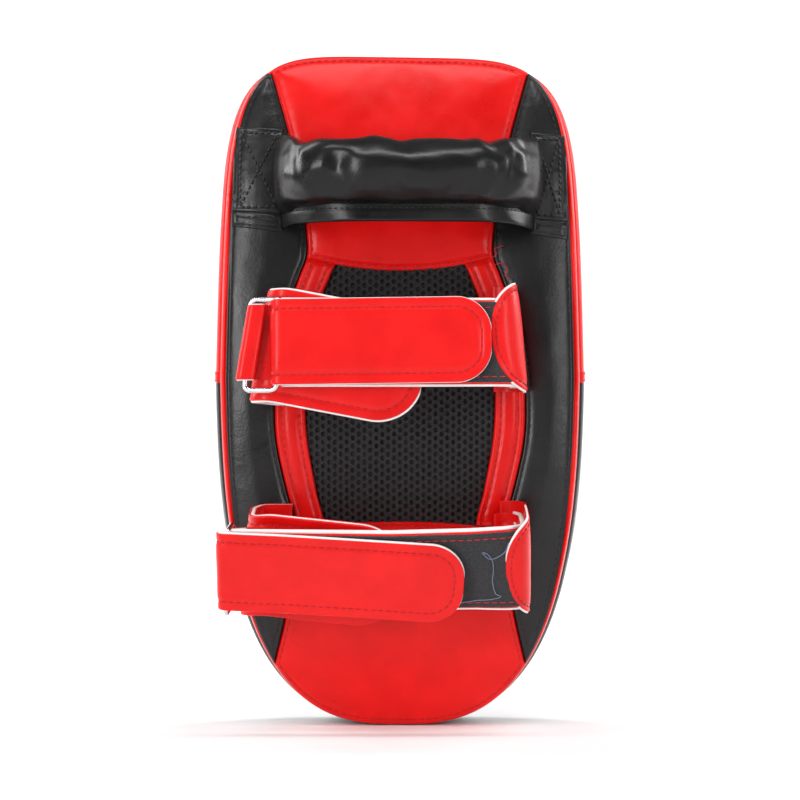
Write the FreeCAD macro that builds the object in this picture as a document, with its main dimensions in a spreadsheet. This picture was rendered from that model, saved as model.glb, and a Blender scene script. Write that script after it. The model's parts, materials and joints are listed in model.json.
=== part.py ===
import FreeCAD
import Part
import Sketcher
import math
import os
from FreeCAD import Placement, Rotation, Vector

# Curved, hand-held kick and strike pad with a padded grab handle and two forearm straps.
#
# Frame: +Z runs up the pad towards the grab handle, +X across it, +Y towards the strike face.
# The origin is the crest of the convex back, half way up, where the forearm lies.
# "Out" is the distance from the back panel towards the user, so out = -Y at the origin.
# Every layer of the pad is bent about one axis, parallel to X, at y = bend_radius.

DIMENSIONS = [
    ("half_width", 105.0, "half the width of the strike side"),
    ("half_height", 193.5, "half the height of the strike side"),
    ("rear_half_width", 97.5, "half the width of the back panel"),
    ("rear_half_height", 191.5, "half the height of the back panel"),
    ("top_power", 4.8, "squareness of the outline's upper half"),
    ("bottom_power", 2.5, "squareness of the outline's lower half"),
    ("bend_radius", 620.0, "radius of the back panel's bend"),
    ("pad_depth", 50.0, "thickness of the padding with its covers"),
    ("skin", 1.2, "thickness of the PU covers"),
    ("gusset_depth", 12.0, "depth of the gusset strip behind the cover"),
    ("core_depth", 33.0, "depth where the core foam meets the strike foam"),
    ("seam_height", 6.0, "height of the seam between the two strike covers"),
    ("top_end_half", 80.0, "half width of the top red panel, past the pad's end"),
    ("bottom_end_half", 85.0, "half width of the bottom red panel, past the pad's end"),
    ("panel_neck_half", 52.0, "half width of the red panels at the forearm rest"),
    ("rest_waist_half", 69.0, "half width across the mesh bindings"),
    ("rest_top", 70.0, "top edge of the forearm rest"),
    ("rest_bottom", -80.0, "bottom edge of the forearm rest"),
    ("sponge_rise", 5.0, "how far the forearm sponge stands out"),
    ("mesh_skin", 0.8, "thickness of the air mesh"),
    ("grip_height", 119.0, "height of the grab handle's centre line"),
    ("grip_offset", 5.0, "the handle's middle, to the right of the pad's"),
    ("grip_half_length", 62.0, "half the length of the padded grip"),
    ("grip_radius", 19.0, "outer radius of the padded grip"),
    ("grip_out", 44.0, "grip centre line above the panel, at its middle"),
    ("grip_rise", 20.0, "how far the grip's middle stands above its ends"),
    ("grip_skin", 1.3, "thickness of the grip's cover"),
    ("flange_height", 12.0, "stitched flange under the grip"),
    ("flange_skin", 2.6, "thickness of that flange"),
    ("anchor_gap", 5.5, "from the end of the grip's centre line to its anchor"),
    ("anchor_reach", 93.0, "from the pad's middle to the handle's sewn ends"),
    ("anchor_ramp", 9.0, "length of the ramp at each sewn-down end"),
    ("anchor_height", 58.0, "height of each sewn-down end"),
    ("anchor_rise", 20.0, "height of the ramp from the panel to the grip"),
    ("anchor_edge", 3.0, "thickness of the sewn-down ends"),
    ("anchor_drop", -1.0, "how far the anchors' middle lies below the grip's"),
    ("strap_width", 48.0, "width of the forearm straps"),
    ("root_width", 60.0, "width of the tongues and of the flaps over the bands' roots"),
    ("strap_skin", 0.8, "thickness of the straps' PU"),
    ("strap_foam", 2.4, "thickness of the straps' foam"),
    ("strap_lift", 2.6, "gap that clears the curved panel under the roots"),
    ("fold_radius", 11.0, "outer radius of the straps' folds"),
    ("closure", 0.9, "thickness of the hook strip and of the loop strip"),
    ("closure_width", 42.0, "width of the hook and loop strips"),
    ("wire_radius", 1.75, "radius of the ring's wire"),
    ("wire_clearance", 0.2, "gap between the wire and what wraps it"),
    ("ring_half", 27.0, "half the ring's length, on its centre line"),
    ("ring_corner", 4.0, "bend radius of the ring's corners"),
    ("loop_skin", 1.6, "thickness of the webbing that holds the ring"),
    ("tip_radius", 20.0, "radius of the tails' rounded tips"),
    ("tongue_tip_radius", 26.0, "radius of the tongues' rounded tips"),
    ("flap_tip_radius", 7.0, "radius of the anchor flaps' rounded corners"),
    ("tail_gap", 6.5, "from the ring's bar to the start of the tail"),
    ("band_gap", 0.4, "from the ring's bar to the end of the band"),
    ("tongue_gap", 0.5, "gap between the tongue and the ring loop on it"),
    ("flap_root", 5.5, "how far the anchor flap's root starts past the band's"),
    ("flap_reach", 18.0, "how far the anchor flap reaches back from the fold"),
    ("loop_inset", 20.0, "from the fold to the start of the loop strip"),
    ("hook_inset", 8.0, "from the tail's tip to the hook strip"),
    ("hook_length", 67.0, "length of the hook strip"),
    ("short_leg", 4.0, "ring loop's outer leg past the held bar"),
    ("long_leg", 24.0, "ring loop's inner leg past the held bar"),
    ("loop_narrower", 1.0, "how much narrower the ring loop is than the strap"),
]

# Each forearm strap, in its own frame: x across the pad, out from the panel, z along the forearm.
# The station is the strap's height on the pad, the lean tips its loop down, and the roll turns
# the tail about the outward direction.
STRAPS = {
    "upper": {
        "station": 25.0,
        "lean": -0.8,
        "roll": -1.0,
        "tail_bar": (-65.0, 52.0),
        "held_bar": (-82.5, 47.5),
        "band_root": 52.3,
        "band_fold": 68.0,
        "tail_tip": 50.0,
        "tongue_root": -63.0,
        "tongue_fold": -78.0,
        "tongue_tip": 11.0,
        "tongue_roll": 9.0,
        "loop_start": -36.0,
    },
    "lower": {
        "station": -86.0,
        "lean": 12.0,
        "roll": 3.7,
        "tail_bar": (-94.0, 58.0),
        "held_bar": (-92.0, 41.5),
        "band_root": 53.0,
        "band_fold": 70.5,
        "tail_tip": 35.0,
        "tongue_root": -62.0,
        "tongue_fold": -84.0,
        "tongue_tip": -6.0,
        "tongue_roll": 5.0,
        "loop_start": -60.0,
    },
}

OUTLINE_POINTS = 48
ENDS_CLEARANCE = 15.0  # how far cutting tools run past the pad's sides and ends
TOOL_REAR = -40.0  # nearest Y that a cutting tool reaches
TOOL_FRONT = 140.0  # farthest Y that a cutting tool reaches
ROUNDING_SLACK = 0.1  # keeps two fillets on one face from meeting exactly


class Dim:
    """A number together with the spreadsheet expression that gives it."""

    def __init__(self, value, text):
        self.value = value
        self.text = text

    def __add__(self, other):
        other = as_dim(other)
        return Dim(self.value + other.value, f"({self.text} + {other.text})")

    def __sub__(self, other):
        other = as_dim(other)
        return Dim(self.value - other.value, f"({self.text} - {other.text})")

    def __mul__(self, factor):
        return Dim(self.value * factor, f"({self.text} * ({factor}))")

    def __neg__(self):
        return self * -1


def as_dim(number):
    return number if isinstance(number, Dim) else Dim(float(number), f"({float(number)})")


doc = FreeCAD.newDocument("StrikePad")
sheet = doc.addObject("Spreadsheet::Sheet", "Dims")
d = {}


def fill_sheet():
    """Writes the driving dimensions, then each strap's own, one row each."""
    rows = list(DIMENSIONS)
    for name, strap in STRAPS.items():
        for key, value in strap.items():
            if isinstance(value, tuple):
                rows.append((f"{name}_{key}_x", value[0], f"{name} strap, across the pad"))
                rows.append((f"{name}_{key}_out", value[1], f"{name} strap, out from the panel"))
            else:
                rows.append((f"{name}_{key}", value, f"{name} strap"))
    for row, (alias, value, note) in enumerate(rows, 1):
        sheet.set(f"A{row}", alias)
        sheet.set(f"B{row}", str(value))
        sheet.setAlias(f"B{row}", alias)
        sheet.set(f"C{row}", note)
        d[alias] = Dim(value, f"Dims.{alias}")
    doc.recompute()


def bind(thing, prop, value):
    thing.setExpression(prop, as_dim(value).text)


def labelled(thing, label):
    thing.Label = label
    return thing


# Part primitives and booleans


def box(name, low, high):
    """A block between two corners, each given as three dimensions."""
    block = doc.addObject("Part::Box", name)
    for prop, start, end in zip(("Length", "Width", "Height"), low, high):
        bind(block, prop, as_dim(end) - start)
    for axis, start in zip("xyz", low):
        bind(block, f"Placement.Base.{axis}", start)
    return block


def boolean(kind, name, first, second):
    result = doc.addObject(f"Part::{kind}", name)
    result.Base = first
    result.Tool = second
    return result


def bend_cylinder(name, depth):
    """The cylinder that a layer face at this depth below the back panel lies on."""
    cylinder = doc.addObject("Part::Cylinder", name)
    bind(cylinder, "Radius", d["bend_radius"] - depth)
    bind(cylinder, "Height", d["half_width"] * 2 + 2 * ENDS_CLEARANCE)
    cylinder.Placement.Rotation = Rotation(Vector(0, 1, 0), 90)
    bind(cylinder, "Placement.Base.x", -d["half_width"] - ENDS_CLEARANCE)
    bind(cylinder, "Placement.Base.y", d["bend_radius"])
    return cylinder


def prism(name, wire):
    """A tool that extends an XZ outline through the whole depth of the pad."""
    tool = doc.addObject("Part::Feature", name)
    face = Part.Face(wire)
    face.translate(Vector(0, TOOL_REAR, 0))
    tool.Shape = face.extrude(Vector(0, TOOL_FRONT - TOOL_REAR, 0))
    return tool


def outline_prism(name, half_width, half_height):
    """The pad's outline: a superellipse about the seam, squarer above it than below it."""
    seam = d["seam_height"].value
    points = []
    for step in range(OUTLINE_POINTS):
        angle = 2 * math.pi * step / OUTLINE_POINTS
        upper = math.sin(angle) >= 0
        power = (d["top_power"] if upper else d["bottom_power"]).value
        end = half_height.value + (-seam if upper else seam)
        across = abs(math.cos(angle) / half_width.value) ** power
        along = abs(math.sin(angle) / end) ** power
        radius = (across + along) ** (-1 / power)
        points.append(Vector(radius * math.cos(angle), 0, seam + radius * math.sin(angle)))
    curve = Part.BSplineCurve()
    curve.interpolate(Points=points, PeriodicFlag=True)
    return prism(name, Part.Wire(curve.toShape()))


def column_prism(name):
    """The red column down the back: trapezoid, lens-shaped forearm rest, trapezoid."""
    top_end = d["top_end_half"].value
    bottom_end = d["bottom_end_half"].value
    neck = d["panel_neck_half"].value
    waist = d["rest_waist_half"].value
    top = d["rest_top"].value
    bottom = d["rest_bottom"].value
    reach = d["half_height"].value + ENDS_CLEARANCE
    middle = (top + bottom) / 2

    def at(x, z):
        return Vector(x, 0, z)

    edges = [
        Part.LineSegment(at(top_end, reach), at(neck, top)),
        Part.Arc(at(neck, top), at(waist, middle), at(neck, bottom)),
        Part.LineSegment(at(neck, bottom), at(bottom_end, -reach)),
        Part.LineSegment(at(bottom_end, -reach), at(-bottom_end, -reach)),
        Part.LineSegment(at(-bottom_end, -reach), at(-neck, bottom)),
        Part.Arc(at(-neck, bottom), at(-waist, middle), at(-neck, top)),
        Part.LineSegment(at(-neck, top), at(-top_end, reach)),
        Part.LineSegment(at(-top_end, reach), at(top_end, reach)),
    ]
    return prism(name, Part.Wire([edge.toShape() for edge in edges]))


# PartDesign helpers


def profile(body, plane, corners):
    """A closed polygon sketch whose corners are bound to the spreadsheet."""
    sketch = body.newObject("Sketcher::SketchObject", f"{body.Name}_profile")
    origin_plane = next(f for f in body.Origin.OriginFeatures if f.Role == plane)
    sketch.AttachmentSupport = [(origin_plane, "")]
    sketch.MapMode = "FlatFace"
    points = [Vector(as_dim(x).value, as_dim(y).value, 0) for x, y in corners]
    count = len(points)
    for i in range(count):
        sketch.addGeometry(Part.LineSegment(points[i], points[(i + 1) % count]))
    for i in range(count):
        sketch.addConstraint(Sketcher.Constraint("Coincident", i, 2, (i + 1) % count, 1))
    for i, corner in enumerate(corners):
        for kind, value in zip(("DistanceX", "DistanceY"), corner):
            value = as_dim(value)
            index = sketch.addConstraint(Sketcher.Constraint(kind, i, 1, value.value))
            bind(sketch, f"Constraints[{index}]", value)
    return sketch


def padded_profile(label, plane, corners, length):
    """A body made by padding a polygon equally to both sides of its plane."""
    body = labelled(doc.addObject("PartDesign::Body", label), label)
    sketch = profile(body, plane, corners)
    doc.recompute()
    pad = body.newObject("PartDesign::Pad", f"{label}_pad")
    pad.Profile = sketch
    pad.SideType = "Symmetric"
    bind(pad, "Length", length)
    doc.recompute()
    return body


def straight_edges(shape, direction, places):
    """Names of the edges along a direction whose middle lies at one of the places."""
    names = []
    for number, edge in enumerate(shape.Edges, 1):
        if len(edge.Vertexes) != 2 or edge.Curve.TypeId != "Part::GeomLine":
            continue
        run = edge.Vertexes[1].Point - edge.Vertexes[0].Point
        if abs(run.normalize().dot(direction)) < 0.999:
            continue
        middle = edge.CenterOfMass
        for place in places:
            offset = middle - place
            across = offset - direction * offset.dot(direction)
            if across.Length < 0.01:
                names.append(f"Edge{number}")
                break
    return names


def round_edges(body, direction, places, radius):
    """Fillets the body's edges along a direction at the given places."""
    base = body.Tip
    fillet = body.newObject("PartDesign::Fillet", f"{body.Name}_round")
    fillet.Base = (base, straight_edges(base.Shape, direction, places))
    bind(fillet, "Radius", radius)
    doc.recompute()


def strap_placement(name, roll=0.0, pivot=0.0):
    """Where a strap's frame stands on the curved back, rolled about an outward line at pivot."""
    station = d[f"{name}_station"].value
    bend = d["bend_radius"].value
    surface = bend - math.sqrt(bend**2 - station**2)
    stand = Placement(
        Vector(0, surface, station), Rotation(Vector(1, 0, 0), d[f"{name}_lean"].value)
    )
    centre = Vector(pivot, 0, 0)
    return stand.multiply(Placement(Vector(), Rotation(Vector(0, -1, 0), -roll), centre))


def folded_strip(label, root, fold, tip, low, high, thickness, width, offset=0.0):
    """A strip sewn down at its root, which rises at its fold and runs back over to its tip.

    The offset moves it inside the outer face, so a lining follows its skin.
    """
    side = 1 if as_dim(tip).value > as_dim(fold).value else -1
    fold = as_dim(fold) + as_dim(offset) * side
    low = as_dim(low) + offset
    high = as_dim(high) - offset
    inner_fold = fold + as_dim(thickness) * side
    inner_low = low + thickness
    inner_high = high - thickness
    corners = [
        (root, -low),
        (fold, -low),
        (fold, -high),
        (tip, -high),
        (tip, -inner_high),
        (inner_fold, -inner_high),
        (inner_fold, -inner_low),
        (root, -inner_low),
    ]
    body = padded_profile(label, "XY_Plane", corners, width)
    along = Vector(0, 0, 1)
    outer = [Vector(fold.value, -low.value, 0), Vector(fold.value, -high.value, 0)]
    inner = [
        Vector(inner_fold.value, -inner_low.value, 0),
        Vector(inner_fold.value, -inner_high.value, 0),
    ]
    outer_radius = d["fold_radius"] - offset
    round_edges(body, along, outer, outer_radius)
    round_edges(body, along, inner, outer_radius - thickness)
    return body


def round_tip(body, tip, width, radius):
    """Rounds the two corners of a strip's free end."""
    half = as_dim(width).value / 2
    reach = as_dim(tip).value
    places = [Vector(reach, 0, half), Vector(reach, 0, -half)]
    round_edges(body, Vector(0, 1, 0), places, radius)


def flat_strip(label, start, tip, low, thickness, width):
    """A straight strip from its start to its tip, its underside at the height low."""
    high = as_dim(low) + thickness
    corners = [(start, -as_dim(low)), (start, -high), (tip, -high), (tip, -as_dim(low))]
    return padded_profile(label, "XY_Plane", corners, width)


# The pad itself


def pad_layers():
    """Foams, covers and the sewn panels of the back."""
    skin = d["skin"]
    faces = {
        "back": bend_cylinder("back_face", 0),
        "skin": bend_cylinder("under_back_skin", skin),
        "gusset": bend_cylinder("gusset_face", d["gusset_depth"]),
        "core": bend_cylinder("core_face", d["core_depth"]),
        "strike": bend_cylinder("strike_foam_face", d["pad_depth"] - skin),
        "front": bend_cylinder("strike_face", d["pad_depth"]),
        "sponge": bend_cylinder("sponge_face", -d["sponge_rise"]),
        "mesh": bend_cylinder("mesh_face", -d["sponge_rise"] - d["mesh_skin"]),
    }
    wide, tall = d["half_width"], d["half_height"]
    rear_wide, rear_tall = d["rear_half_width"], d["rear_half_height"]
    front_outline = outline_prism("front_outline", wide, tall)
    cavity_outline = outline_prism("cavity_outline", wide - skin, tall - skin)
    rear_outline = outline_prism("rear_outline", rear_wide, rear_tall)
    foam_outline = outline_prism("rear_foam_outline", rear_wide - skin, rear_tall - skin)

    def layer(name, rear, front, outline):
        blank = boolean("Cut", f"{name}_blank", faces[rear], faces[front])
        return labelled(boolean("Common", name, blank, outline), name)

    layer("strike_foam", "core", "strike", cavity_outline)
    layer("core_foam", "gusset", "core", cavity_outline)
    layer("rear_foam", "skin", "gusset", foam_outline)

    ring = layer("gusset_block", "skin", "gusset", rear_outline)
    boolean("Cut", "side_gusset", ring, foam_outline)

    shell_block = layer("cover_block", "gusset", "front", front_outline)
    cavity = layer("cover_cavity", "back", "strike", cavity_outline)
    shell = boolean("Cut", "cover_shell", shell_block, cavity)
    reach = d["half_height"] + ENDS_CLEARANCE
    side = d["half_width"] + ENDS_CLEARANCE
    seam = d["seam_height"]
    upper_half = box("upper_half", (-side, TOOL_REAR, seam), (side, TOOL_FRONT, reach))
    lower_half = box("lower_half", (-side, TOOL_REAR, -reach), (side, TOOL_FRONT, seam))
    boolean("Common", "strike_cover_upper", shell, upper_half)
    boolean("Common", "strike_cover_lower", shell, lower_half)

    back_panels(faces, rear_outline, side, reach)


def back_panels(faces, rear_outline, side, reach):
    """The patchwork of the back: black sides, red ends, and the forearm rest between them."""
    column = column_prism("red_column")
    skin_blank = boolean("Cut", "back_skin_blank", faces["back"], faces["skin"])
    back_skin = boolean("Common", "back_skin", skin_blank, rear_outline)
    column_skin = boolean("Common", "column_skin", back_skin, column)
    side_skin = boolean("Cut", "side_skin", back_skin, column)
    top, bottom, neck = d["rest_top"], d["rest_bottom"], d["panel_neck_half"]

    def region(name, base, low_x, high_x, low_z, high_z):
        area = box(
            f"{name}_area", (low_x, TOOL_REAR, low_z), (high_x, TOOL_FRONT, high_z)
        )
        return boolean("Common", name, base, area)

    region("left_back_panel", side_skin, -side, 0, -reach, reach)
    region("right_back_panel", side_skin, 0, side, -reach, reach)
    region("top_back_panel", column_skin, -side, side, top, reach)
    region("bottom_back_panel", column_skin, -side, side, -reach, bottom)
    region("left_mesh_binding", column_skin, -side, -neck, bottom, top)
    region("right_mesh_binding", column_skin, neck, side, bottom, top)

    sponge_blank = boolean("Cut", "sponge_blank", faces["sponge"], faces["skin"])
    region("forearm_sponge", sponge_blank, -neck, neck, bottom, top)
    mesh_blank = boolean("Cut", "mesh_blank", faces["mesh"], faces["sponge"])
    region("forearm_mesh", mesh_blank, -neck, neck, bottom, top)


# Grab handle


def grip_frame():
    """The grip's bow: the radius of its centre line, half its angle and its placement."""
    half_length, rise = d["grip_half_length"].value, d["grip_rise"].value
    radius = (half_length**2 + rise**2) / (2 * rise)
    half_angle = math.degrees(math.asin(half_length / radius))
    height, bend = d["grip_height"].value, d["bend_radius"].value
    surface = bend - math.sqrt(bend**2 - height**2)
    centre = Vector(d["grip_offset"].value, surface - d["grip_out"].value + radius, height)
    return radius, half_angle, Placement(centre, Rotation(Vector(0, 0, 1), 270 - half_angle))


def grip_arc(name, kind, section):
    """A part of the bow: a torus for the padding, or a cylinder for the flange."""
    radius, half_angle, place = grip_frame()
    arc = doc.addObject(f"Part::{kind}", name)
    if kind == "Torus":
        arc.Radius1 = radius
        bind(arc, "Radius2", section)
        arc.Angle3 = 2 * half_angle
    else:
        arc.Radius = radius + as_dim(section).value
        bind(arc, "Height", d["flange_height"])
        arc.Angle = 2 * half_angle
        drop = d["grip_radius"].value + d["flange_height"].value - d["grip_skin"].value / 2
        place = Placement(place.Base - Vector(0, 0, drop), place.Rotation)
    arc.Placement = place
    return arc


def grab_handle():
    outer = grip_arc("grip_outer", "Torus", d["grip_radius"])
    bore = grip_arc("grip_bore", "Torus", d["grip_radius"] - d["grip_skin"])
    labelled(grip_arc("handle_foam", "Torus", d["grip_radius"] - d["grip_skin"]), "handle_foam")
    tube = boolean("Cut", "grip_tube", outer, bore)
    flange_outer = grip_arc("flange_outer", "Cylinder", d["flange_skin"] * 0.5)
    flange_inner = grip_arc("flange_inner", "Cylinder", d["flange_skin"] * -0.5)
    flange = boolean("Cut", "grip_flange", flange_outer, flange_inner)
    boolean("Fuse", "handle_cover", tube, flange)
    for name, side in (("handle_left_anchor", -1), ("handle_right_anchor", 1)):
        handle_anchor(name, side)


def handle_anchor(name, side):
    """A sewn-down end of the handle: a flat patch with a ramp up to the grip's end."""
    inner = d["grip_offset"] + (d["grip_half_length"] + d["anchor_gap"]) * side
    foot = inner + d["anchor_ramp"] * side
    outer = d["anchor_reach"] * side
    edge = d["anchor_edge"]
    corners = [
        (inner, -d["anchor_rise"]),
        (inner, edge),
        (outer, edge),
        (outer, -edge),
        (foot, -edge),
    ]
    ramp = padded_profile(f"{name}_ramp", "XY_Plane", corners, d["anchor_height"])
    height, bend = (d["grip_height"] - d["anchor_drop"]).value, d["bend_radius"].value
    tilt = math.degrees(math.asin(height / bend))
    centre = Vector(0, bend, 0)
    ramp.Placement = Placement(Vector(), Rotation(Vector(1, 0, 0), -tilt), centre)
    boolean("Cut", name, ramp, doc.getObject("back_face"))


# Forearm straps


def wrap_arc(name, bar, inner, outer, width):
    """Half a round wrap about a bar, on the side away from the forearm strap's middle."""
    half = doc.addObject("Part::Cylinder", f"{name}_outer")
    hole = doc.addObject("Part::Cylinder", f"{name}_inner")
    for cylinder, radius, angle in ((half, outer, 180), (hole, inner, 360)):
        bind(cylinder, "Radius", radius)
        bind(cylinder, "Height", width)
        cylinder.Angle = angle
        cylinder.Placement = Placement(
            Vector(bar[0], -bar[1], -as_dim(width).value / 2), Rotation(Vector(0, 0, 1), 90)
        )
    return boolean("Cut", name, half, hole)


def wire_ring(label, reach):
    """A rectangular ring of round wire with bent corners, its held bar on the Z axis."""
    body = labelled(doc.addObject("PartDesign::Body", label), label)
    half = d["ring_half"]
    corners = [(0, -half), (reach, -half), (reach, half), (0, half)]
    spine = profile(body, "XZ_Plane", corners)
    for corner in range(4):
        spine.fillet(corner, 1, d["ring_corner"].value)
    section = body.newObject("Sketcher::SketchObject", f"{label}_section")
    origin_plane = next(f for f in body.Origin.OriginFeatures if f.Role == "XY_Plane")
    section.AttachmentSupport = [(origin_plane, "")]
    section.MapMode = "FlatFace"
    wire = Part.Circle(Vector(), Vector(0, 0, 1), d["wire_radius"].value)
    section.addGeometry(wire)
    section.addConstraint(Sketcher.Constraint("Coincident", 0, 3, -1, 1))
    index = section.addConstraint(Sketcher.Constraint("Radius", 0, d["wire_radius"].value))
    bind(section, f"Constraints[{index}]", d["wire_radius"])
    doc.recompute()
    pipe = body.newObject("PartDesign::AdditivePipe", f"{label}_pipe")
    pipe.Profile = section
    pipe.Spine = (spine, [])
    pipe.Transition = "Round corner"
    doc.recompute()
    return body


def forearm_strap(name):
    """All the pieces of one strap, from its roots to its closed tail."""
    own = {key[len(name) + 1 :]: d[key] for key in d if key.startswith(f"{name}_")}
    width, skin, foam = d["strap_width"], d["strap_skin"], d["strap_foam"]
    lift = d["strap_lift"]
    whole = skin + foam
    bar_x, bar_out = own["tail_bar_x"], own["tail_bar_out"]
    held_x, held_out = own["held_bar_x"], own["held_bar_out"]
    wrap_inner = d["wire_radius"] + d["wire_clearance"]
    wrap_outer = wrap_inner + whole
    loop_outer = wrap_inner + d["loop_skin"]
    band_top = bar_out - wrap_inner
    band_end = bar_x + d["band_gap"]
    place = strap_placement(name)

    # The band is sewn down at the right, folds up and runs left to the ring. Its PU skin faces
    # the tail outside the fold and its foam lines the inside.
    band = folded_strip(
        f"{name}_strap_band", own["band_root"], own["band_fold"], band_end,
        lift, band_top, skin, width,
    )
    band_foam = folded_strip(
        f"{name}_band_foam", own["band_root"], own["band_fold"], band_end,
        lift, band_top, foam, width, offset=skin,
    )
    loop_strip = flat_strip(
        f"{name}_loop_strip", own["loop_start"], own["band_fold"] - d["loop_inset"], band_top,
        d["closure"], d["closure_width"],
    )
    flap_skin, root_width = d["skin"], d["root_width"]
    flap_tip = own["band_fold"] - d["flap_reach"]
    anchor_flap = folded_strip(
        f"{name}_anchor_flap", own["band_root"] + d["flap_root"], own["band_fold"] + flap_skin,
        flap_tip, lift - flap_skin, band_top + flap_skin, flap_skin, root_width,
    )
    round_tip(anchor_flap, flap_tip, root_width, d["flap_tip_radius"])

    # The band turns round the ring's bar and comes back over itself as the tail.
    turn = wrap_arc(
        f"{name}_strap_turn", (bar_x.value, bar_out.value), wrap_inner, wrap_outer, width
    )
    tail_start = bar_x + d["tail_gap"]
    tail_skin_low = bar_out + wrap_inner + foam
    tail = flat_strip(
        f"{name}_strap_tail", tail_start, own["tail_tip"], tail_skin_low, skin, width
    )
    round_tip(tail, own["tail_tip"], width, d["tip_radius"])
    tail_foam = flat_strip(
        f"{name}_tail_foam", tail_start, own["tail_tip"], bar_out + wrap_inner, foam, width
    )
    round_tip(tail_foam, own["tail_tip"], width, d["tip_radius"])
    hook_strip = flat_strip(
        f"{name}_hook_strip", own["tail_tip"] - d["hook_inset"] - d["hook_length"],
        own["tail_tip"] - d["hook_inset"], bar_out + wrap_inner - d["closure"],
        d["closure"], d["closure_width"],
    )

    # The tongue is sewn down at the left, folds up and lies between the forearm and the buckle.
    # The ring loop is sewn on top of it and holds the ring's other bar.
    tongue_top = held_out - loop_outer - d["tongue_gap"]
    tongue = folded_strip(
        f"{name}_tongue", own["tongue_root"], own["tongue_fold"], own["tongue_tip"],
        lift, tongue_top, skin, root_width,
    )
    round_tip(tongue, own["tongue_tip"], root_width, d["tongue_tip_radius"])
    tongue_foam = folded_strip(
        f"{name}_tongue_foam", own["tongue_root"], own["tongue_fold"], own["tongue_tip"],
        lift, tongue_top, foam, root_width, offset=skin,
    )
    round_tip(tongue_foam, own["tongue_tip"], root_width, d["tongue_tip_radius"])
    ring_loop = ring_holder(f"{name}_ring_loop", held_x, held_out, loop_outer, width)

    across, rise = bar_x.value - held_x.value, bar_out.value - held_out.value
    reach = math.hypot(across, rise)
    ring = wire_ring(f"{name}_ring", reach)
    ring_turn = Rotation(Vector(0, 0, 1), -math.degrees(math.atan2(rise, across)))
    held = Vector(held_x.value, -held_out.value, 0)
    ring.Placement = place.multiply(Placement(held, ring_turn))

    for piece in (band, band_foam, loop_strip, anchor_flap, turn, ring_loop):
        piece.Placement = place
    tail_place = strap_placement(name, own["roll"].value, bar_x.value)
    for piece in (tail, tail_foam, hook_strip):
        piece.Placement = tail_place
    tongue_place = strap_placement(name, own["tongue_roll"].value, own["tongue_fold"].value)
    for piece in (tongue, tongue_foam):
        piece.Placement = tongue_place


def ring_holder(label, held_x, held_out, outer, width):
    """Webbing folded round the ring's held bar, its two legs running towards the tongue."""
    thickness = d["loop_skin"]
    fold = held_x - outer
    low, high = held_out - outer, held_out + outer
    short_leg = held_x + d["short_leg"]
    long_leg = held_x + d["long_leg"]
    corners = [
        (long_leg, -low),
        (fold, -low),
        (fold, -high),
        (short_leg, -high),
        (short_leg, -high + thickness),
        (fold + thickness, -high + thickness),
        (fold + thickness, -low - thickness),
        (long_leg, -low - thickness),
    ]
    body = padded_profile(label, "XY_Plane", corners, width - d["loop_narrower"])
    along = Vector(0, 0, 1)
    outer_corners = [Vector(fold.value, -low.value, 0), Vector(fold.value, -high.value, 0)]
    round_edges(body, along, outer_corners, outer - ROUNDING_SLACK)
    return body


NODES = [
    "strike_foam", "core_foam", "rear_foam", "side_gusset",
    "strike_cover_upper", "strike_cover_lower",
    "left_back_panel", "right_back_panel", "top_back_panel", "bottom_back_panel",
    "left_mesh_binding", "right_mesh_binding", "forearm_sponge", "forearm_mesh",
    "handle_foam", "handle_cover", "handle_left_anchor", "handle_right_anchor",
]
STRAP_NODES = [
    "strap_band", "band_foam", "loop_strip", "anchor_flap", "strap_turn", "strap_tail",
    "tail_foam", "hook_strip", "tongue", "tongue_foam", "ring_loop", "ring",
]


def check_document():
    """Stops the script if any object failed or any sub-part has no sound shape."""
    for thing in doc.Objects:
        if "Invalid" in thing.State or "Error" in thing.State:
            raise RuntimeError(f"{thing.Label} failed: {thing.State}")


def write_nodes():
    os.makedirs("parts", exist_ok=True)
    names = NODES + [f"{strap}_{node}" for strap in STRAPS for node in STRAP_NODES]
    for name in names:
        shape = doc.getObject(name).Shape
        if shape.isNull() or not shape.isValid() or not shape.Solids:
            raise RuntimeError(f"{name} has no sound solid")
        shape.exportStep(f"parts/{name}.step")


fill_sheet()
pad_layers()
grab_handle()
for strap_name in STRAPS:
    forearm_strap(strap_name)
doc.recompute()
check_document()
write_nodes()
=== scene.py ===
"""Looks of the curved kick and strike pad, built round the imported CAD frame.

Shapes are worked out in millimetres and become metres when a piece's mesh is made. A piece is
laid out flat, as (across, up) on the pad or (along, across) on a strap, and then placed in space.
"""

import json
import math
from dataclasses import dataclass

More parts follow.
